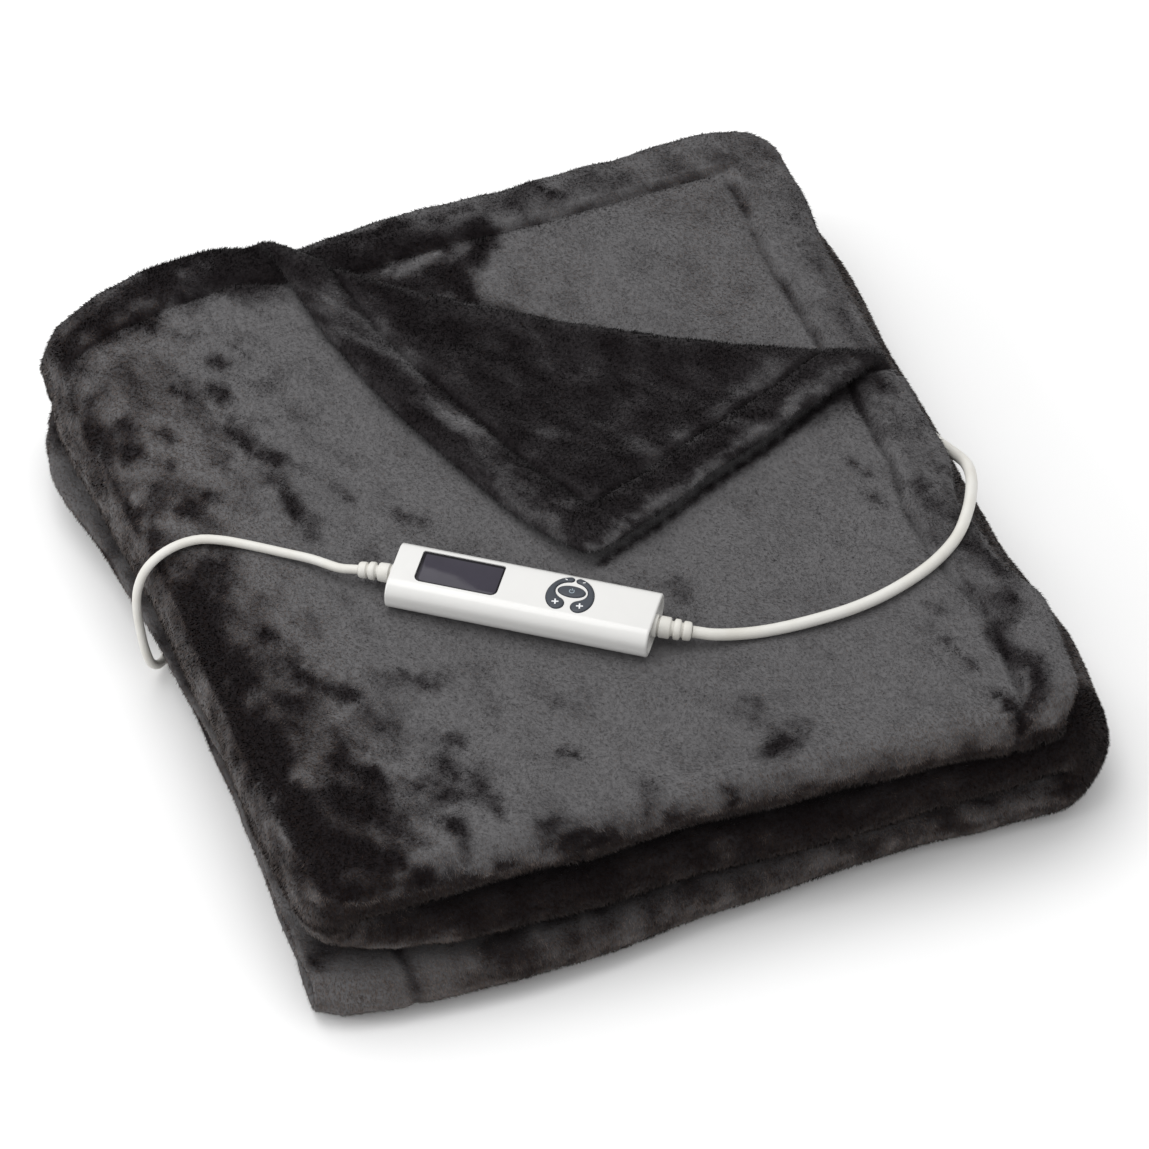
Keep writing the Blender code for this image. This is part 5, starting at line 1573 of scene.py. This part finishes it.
def make_marks(white, grey):
    """Plus and minus on the crescents, and a power sign on the oval."""
    spine = [centre for centre, _ in crescent_spine(0.0)]
    for side, body in ((1, "left_key"), (-1, "right_key")):
        near, far = ((-side * spot.x, spot.y) for spot in (spine[-2], spine[MINUS_STEP]))
        printed("plus_" + body, cross_outline(PLUS_REACH, PLUS_HALF), near, PLUS_TURN, body, white)
        printed("minus_" + body, bar_outline(MINUS_SIZE), far, side * MINUS_TURN, body, white)
    arc = [math.radians(RING_FROM + RING_SWEEP * i / RING_STEPS) for i in range(RING_STEPS + 1)]
    ring = [radius * Vector((math.cos(a), math.sin(a)))
            for radius, turns in ((RING_OUTER, arc), (RING_INNER, arc[::-1])) for a in turns]
    printed("power_ring", ring, (0.0, 0.0), 0.0, "power_key", grey, POWER_V)
    printed("power_stroke", bar_outline(STROKE_SIZE), (0.0, STROKE_V), 0.0, "power_key", grey,
            POWER_V)


# ---- strain reliefs, tie and plug ----

RELIEF_PROFILE = mm(
    (0, 0), (6, 0), (6.1, 0.2), (6.1, 2.1), (5.8, 2.5), (4.3, 2.6), (4, 3.1), (5, 3.4), (5.7, 3.8),
    (5.8, 4.8), (5.7, 8.6), (5.3, 9.2), (4.2, 9.4), (3.9, 10.1), (4.2, 10.8), (5.2, 11.1),
    (5.5, 11.6), (5.5, 13.7), (5.1, 14.3), (4.1, 14.5), (3.8, 15.1), (4.2, 15.6), (4.9, 15.9),
    (5.1, 16.6), (5, 19), (4.6, 19.7), (3.6, 20), (0, 20))
RELIEF_CORD = 0.0064  # the cord that the profile is drawn for


def relief_axis(side, name, along):
    """Point and direction on a strain relief's bent axis, at a distance from the case."""
    place = case_place()
    out = (place.to_3x3() @ Vector((side, 0, 0))).normalized()
    root = place @ Vector((side * (CASE_LENGTH / 2 - END_RECESS + GAP), 0, CASE_HEIGHT / 2))
    aside, down = RELIEF_BEND[name]
    bend = place.to_3x3() @ Vector((0, aside, -down))
    share = along / RELIEF_LENGTH
    way = (out + bend * 2 * share / RELIEF_LENGTH).normalized()
    return root + out * along + bend * share ** 2, way


def pointing(origin, direction):
    """Frame at a point with its Z along a direction."""
    turn = Vector(direction).to_track_quat("Z", "Y").to_matrix().to_4x4()
    return Matrix.Translation(origin) @ turn


def along_x(origin, way):
    """Frames on a straight line from a point, forwards (1) or backwards (-1) along X."""
    return lambda along: pointing(origin + Vector((way * along, 0, 0)), (way, 0, 0))


def turned(name, profile, finish, frame_at, steps=40):
    """A profile turned round an axis, which may bend: frame_at gives its frame at each height."""
    rings = []
    for radius, height in profile:
        frame = frame_at(height)
        wide = max(radius, LEAST_RADIUS)
        rings.append([frame @ Vector((wide * math.cos(2 * math.pi * i / steps),
                                      wide * math.sin(2 * math.pi * i / steps), 0))
                      for i in range(steps)])
    return loft(name, rings, finish, None, 50)


def relief_profile(cord):
    thinner = (RELIEF_CORD - cord) / 2
    return [(max(radius - thinner, 0.0), height) for radius, height in RELIEF_PROFILE]


def make_reliefs(finish):
    for side, name, cord in ((1, "relief_right", BLANKET_LEAD_D), (-1, "relief_left", MAINS_D)):
        item = turned("sleeve_" + name[7:], relief_profile(cord), finish,
                      lambda height: pointing(*relief_axis(side, name, height)))
        keep(item, nodes=(name,))


def make_plug(finish, pin_finish):
    """Flat two-pin plug: a body with a grip, and pins with half sleeves."""
    length, width, height = PLUG_SIZE
    place = Matrix.Translation((*PLUG_BACK, 0.0))
    nose, half = PLUG_NOSE / 2, width / 2
    edge = ((0, nose), (length * PLUG_NECK, NECK_WIDE * half + NECK_NOSE * nose),
            (length * PLUG_SHOULDER, half), (length, half))
    outline = [Vector((x, -y)) for x, y in edge] + [Vector(p) for p in edge[::-1]]
    body = plate("plug_shell", outline, 0.0, height, finish, place)
    soften = body.modifiers.new("soften", "BEVEL")
    soften.width = PLUG_ROUND
    soften.segments = 5
    pieces = [keep(sharpened(apply_all(body)), nodes=("plug_body",))]
    for i in range(4):
        rib = plate("plug_grip_%d" % (i + 1), rounded_outline(GRIP_SIZE, (GRIP_ROUND,) * 4, 3),
                    height - GRIP_SINK, height + GRIP_PROUD, finish,
                    place @ Matrix.Translation((GRIP_FROM + GRIP_STEP * i, 0, 0)), GRIP_EDGE)
        pieces.append(keep(rib))
    for i, side in enumerate((-1, 1)):
        root = place @ Vector((length + GAP, side * PIN_SPACING / 2, height / 2))
        pieces += make_pin(i + 1, root, finish, pin_finish)
    sleeve = turned("plug_sleeve", relief_profile(MAINS_D), finish,
                    along_x(place @ Vector((-GAP, 0, height / 2)), -1))
    pieces.append(keep(sleeve, nodes=("plug_relief",)))
    return pieces


def make_pin(number, root, finish, pin_finish):
    """A pin with an insulated half, drawn in a little, and a bare rounded tip."""
    tip = [(0.0, PIN_SLEEVE), (PIN_R, PIN_SLEEVE)]
    tip += [(PIN_R * share, PIN_LENGTH - back) for share, back in PIN_TIP]
    wide = PIN_R * SLEEVE_SHARE
    half = ((0.0, 0.0), (wide, 0.0), (wide, PIN_SLEEVE - 0.0002), (0.0, PIN_SLEEVE - 0.0001))
    metal = turned("pin_tip_%d" % number, tip, pin_finish, along_x(root, 1))
    cover = turned("pin_cover_%d" % number, half, finish, along_x(root, 1))
    return [keep(metal, nodes=("plug_pin_%d" % number,)), keep(cover)]


def make_tie(finish):
    """A soft strap round the hank, its edges rounded."""
    low, high = (Vector(corner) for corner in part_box("hank_tie"))
    middle = (low + high) / 2
    size = high - low
    bm = bmesh.new()
    outer = rounded_outline((size.y, size.z), (STRAP_ROUND,) * 4, 8)
    inner = tuple((share, STRAP_THICK - inset) for share, inset in STRAP_SECTIONS[::-1])
    loops = []
    for share, inset in STRAP_SECTIONS + inner:
        scale = 1 - 2 * inset / size.y, 1 - 2 * inset / size.z
        loops.append([bm.verts.new((middle.x + share * size.x, middle.y + point.x * scale[0],
                                    middle.z + point.y * scale[1])) for point in outer])
    for first, second in zip(loops, loops[1:] + loops[:1]):
        for i in range(len(outer)):
            after = (i + 1) % len(outer)
            bm.faces.new((first[i], first[after], second[after], second[i]))
    return keep(link(mesh_from(bm, "tie_strap", 50), "tie_strap", finish),
                nodes=("hank_tie",))


# ---- floor and light ----

def make_floor():
    finish, shader = new_finish("floor", (0.96, 0.96, 0.96), 0.7, Specular_IOR_Level=0.2)
    tones = ((0.3, (0.95, 0.95, 0.95)), (0.7, (0.97, 0.97, 0.97)))
    wire(finish, ramp(finish, noise(finish, 3.0, 3.0), tones), shader.inputs["Base Color"])
    bm = bmesh.new()
    bmesh.ops.create_grid(bm, x_segments=8, y_segments=8, size=FLOOR_HALF)
    floor = link(mesh_from(bm, "floor"), "floor", finish)
    floor.location = (0, 0, -FLOOR_SINK)


def area_light(name, place, aim, size, power):
    data = bpy.data.lights.new(name, "AREA")
    data.shape = "RECTANGLE"
    data.size, data.size_y = size
    data.energy = power
    item = link(data, name)
    item.location = place
    item.rotation_euler = (Vector(aim) - Vector(place)).to_track_quat("-Z", "Y").to_euler()


def make_light():
    world = bpy.data.worlds.new("studio")
    world.use_nodes = True
    sky = world.node_tree.nodes["Background"]
    sky.inputs["Color"].default_value = (1.0, 1.0, 1.0, 1.0)
    sky.inputs["Strength"].default_value = SKY
    bpy.context.scene.world = world
    for light in LIGHTS:
        area_light(*light)
    bpy.context.scene.view_settings.view_transform = "Standard"


def make_handset():
    white = plastic("case_plastic", (0.70, 0.695, 0.68), 0.20, 0.01, Coat_Weight=0.3,
                    Coat_Roughness=0.08)
    make_case(white)
    border = plastic("window_border", (0.008, 0.007, 0.010), 0.14, 0.10, Specular_IOR_Level=0.16)
    glass = plastic("window_glass", (0.040, 0.036, 0.050), 0.08, 0.06, Specular_IOR_Level=0.22)
    make_window(border, glass)
    navy = plastic("key_rubber", (0.030, 0.037, 0.050), 0.42, 0.10, 3200.0)
    for side, word in ((1, "left"), (-1, "right")):
        make_key(word + "_crescent", "key_" + word, word + "_key",
                 lambda grow: crescent_outline(side, grow), 0.0, navy)
    make_key("power_oval", "key_power", "power_key", power_outline, POWER_V, navy)
    make_marks(plastic("printed_white", (0.78, 0.79, 0.80), 0.45, 0.03),
               plastic("printed_grey", (0.30, 0.37, 0.42), 0.45, 0.03))


def main():
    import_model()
    make_camera()
    cord = cord_finish()
    mains_cord, far = make_cords(cord)
    tie = make_tie(cord)
    plug = make_plug(cord, nickel_finish())
    make_reliefs(cord)
    sheet, points, flat, faces = make_sheet(backing_finish())
    pile = make_pile(pile_finish(), sheet, points, flat, faces)
    make_handset()
    make_floor()
    make_light()


main()
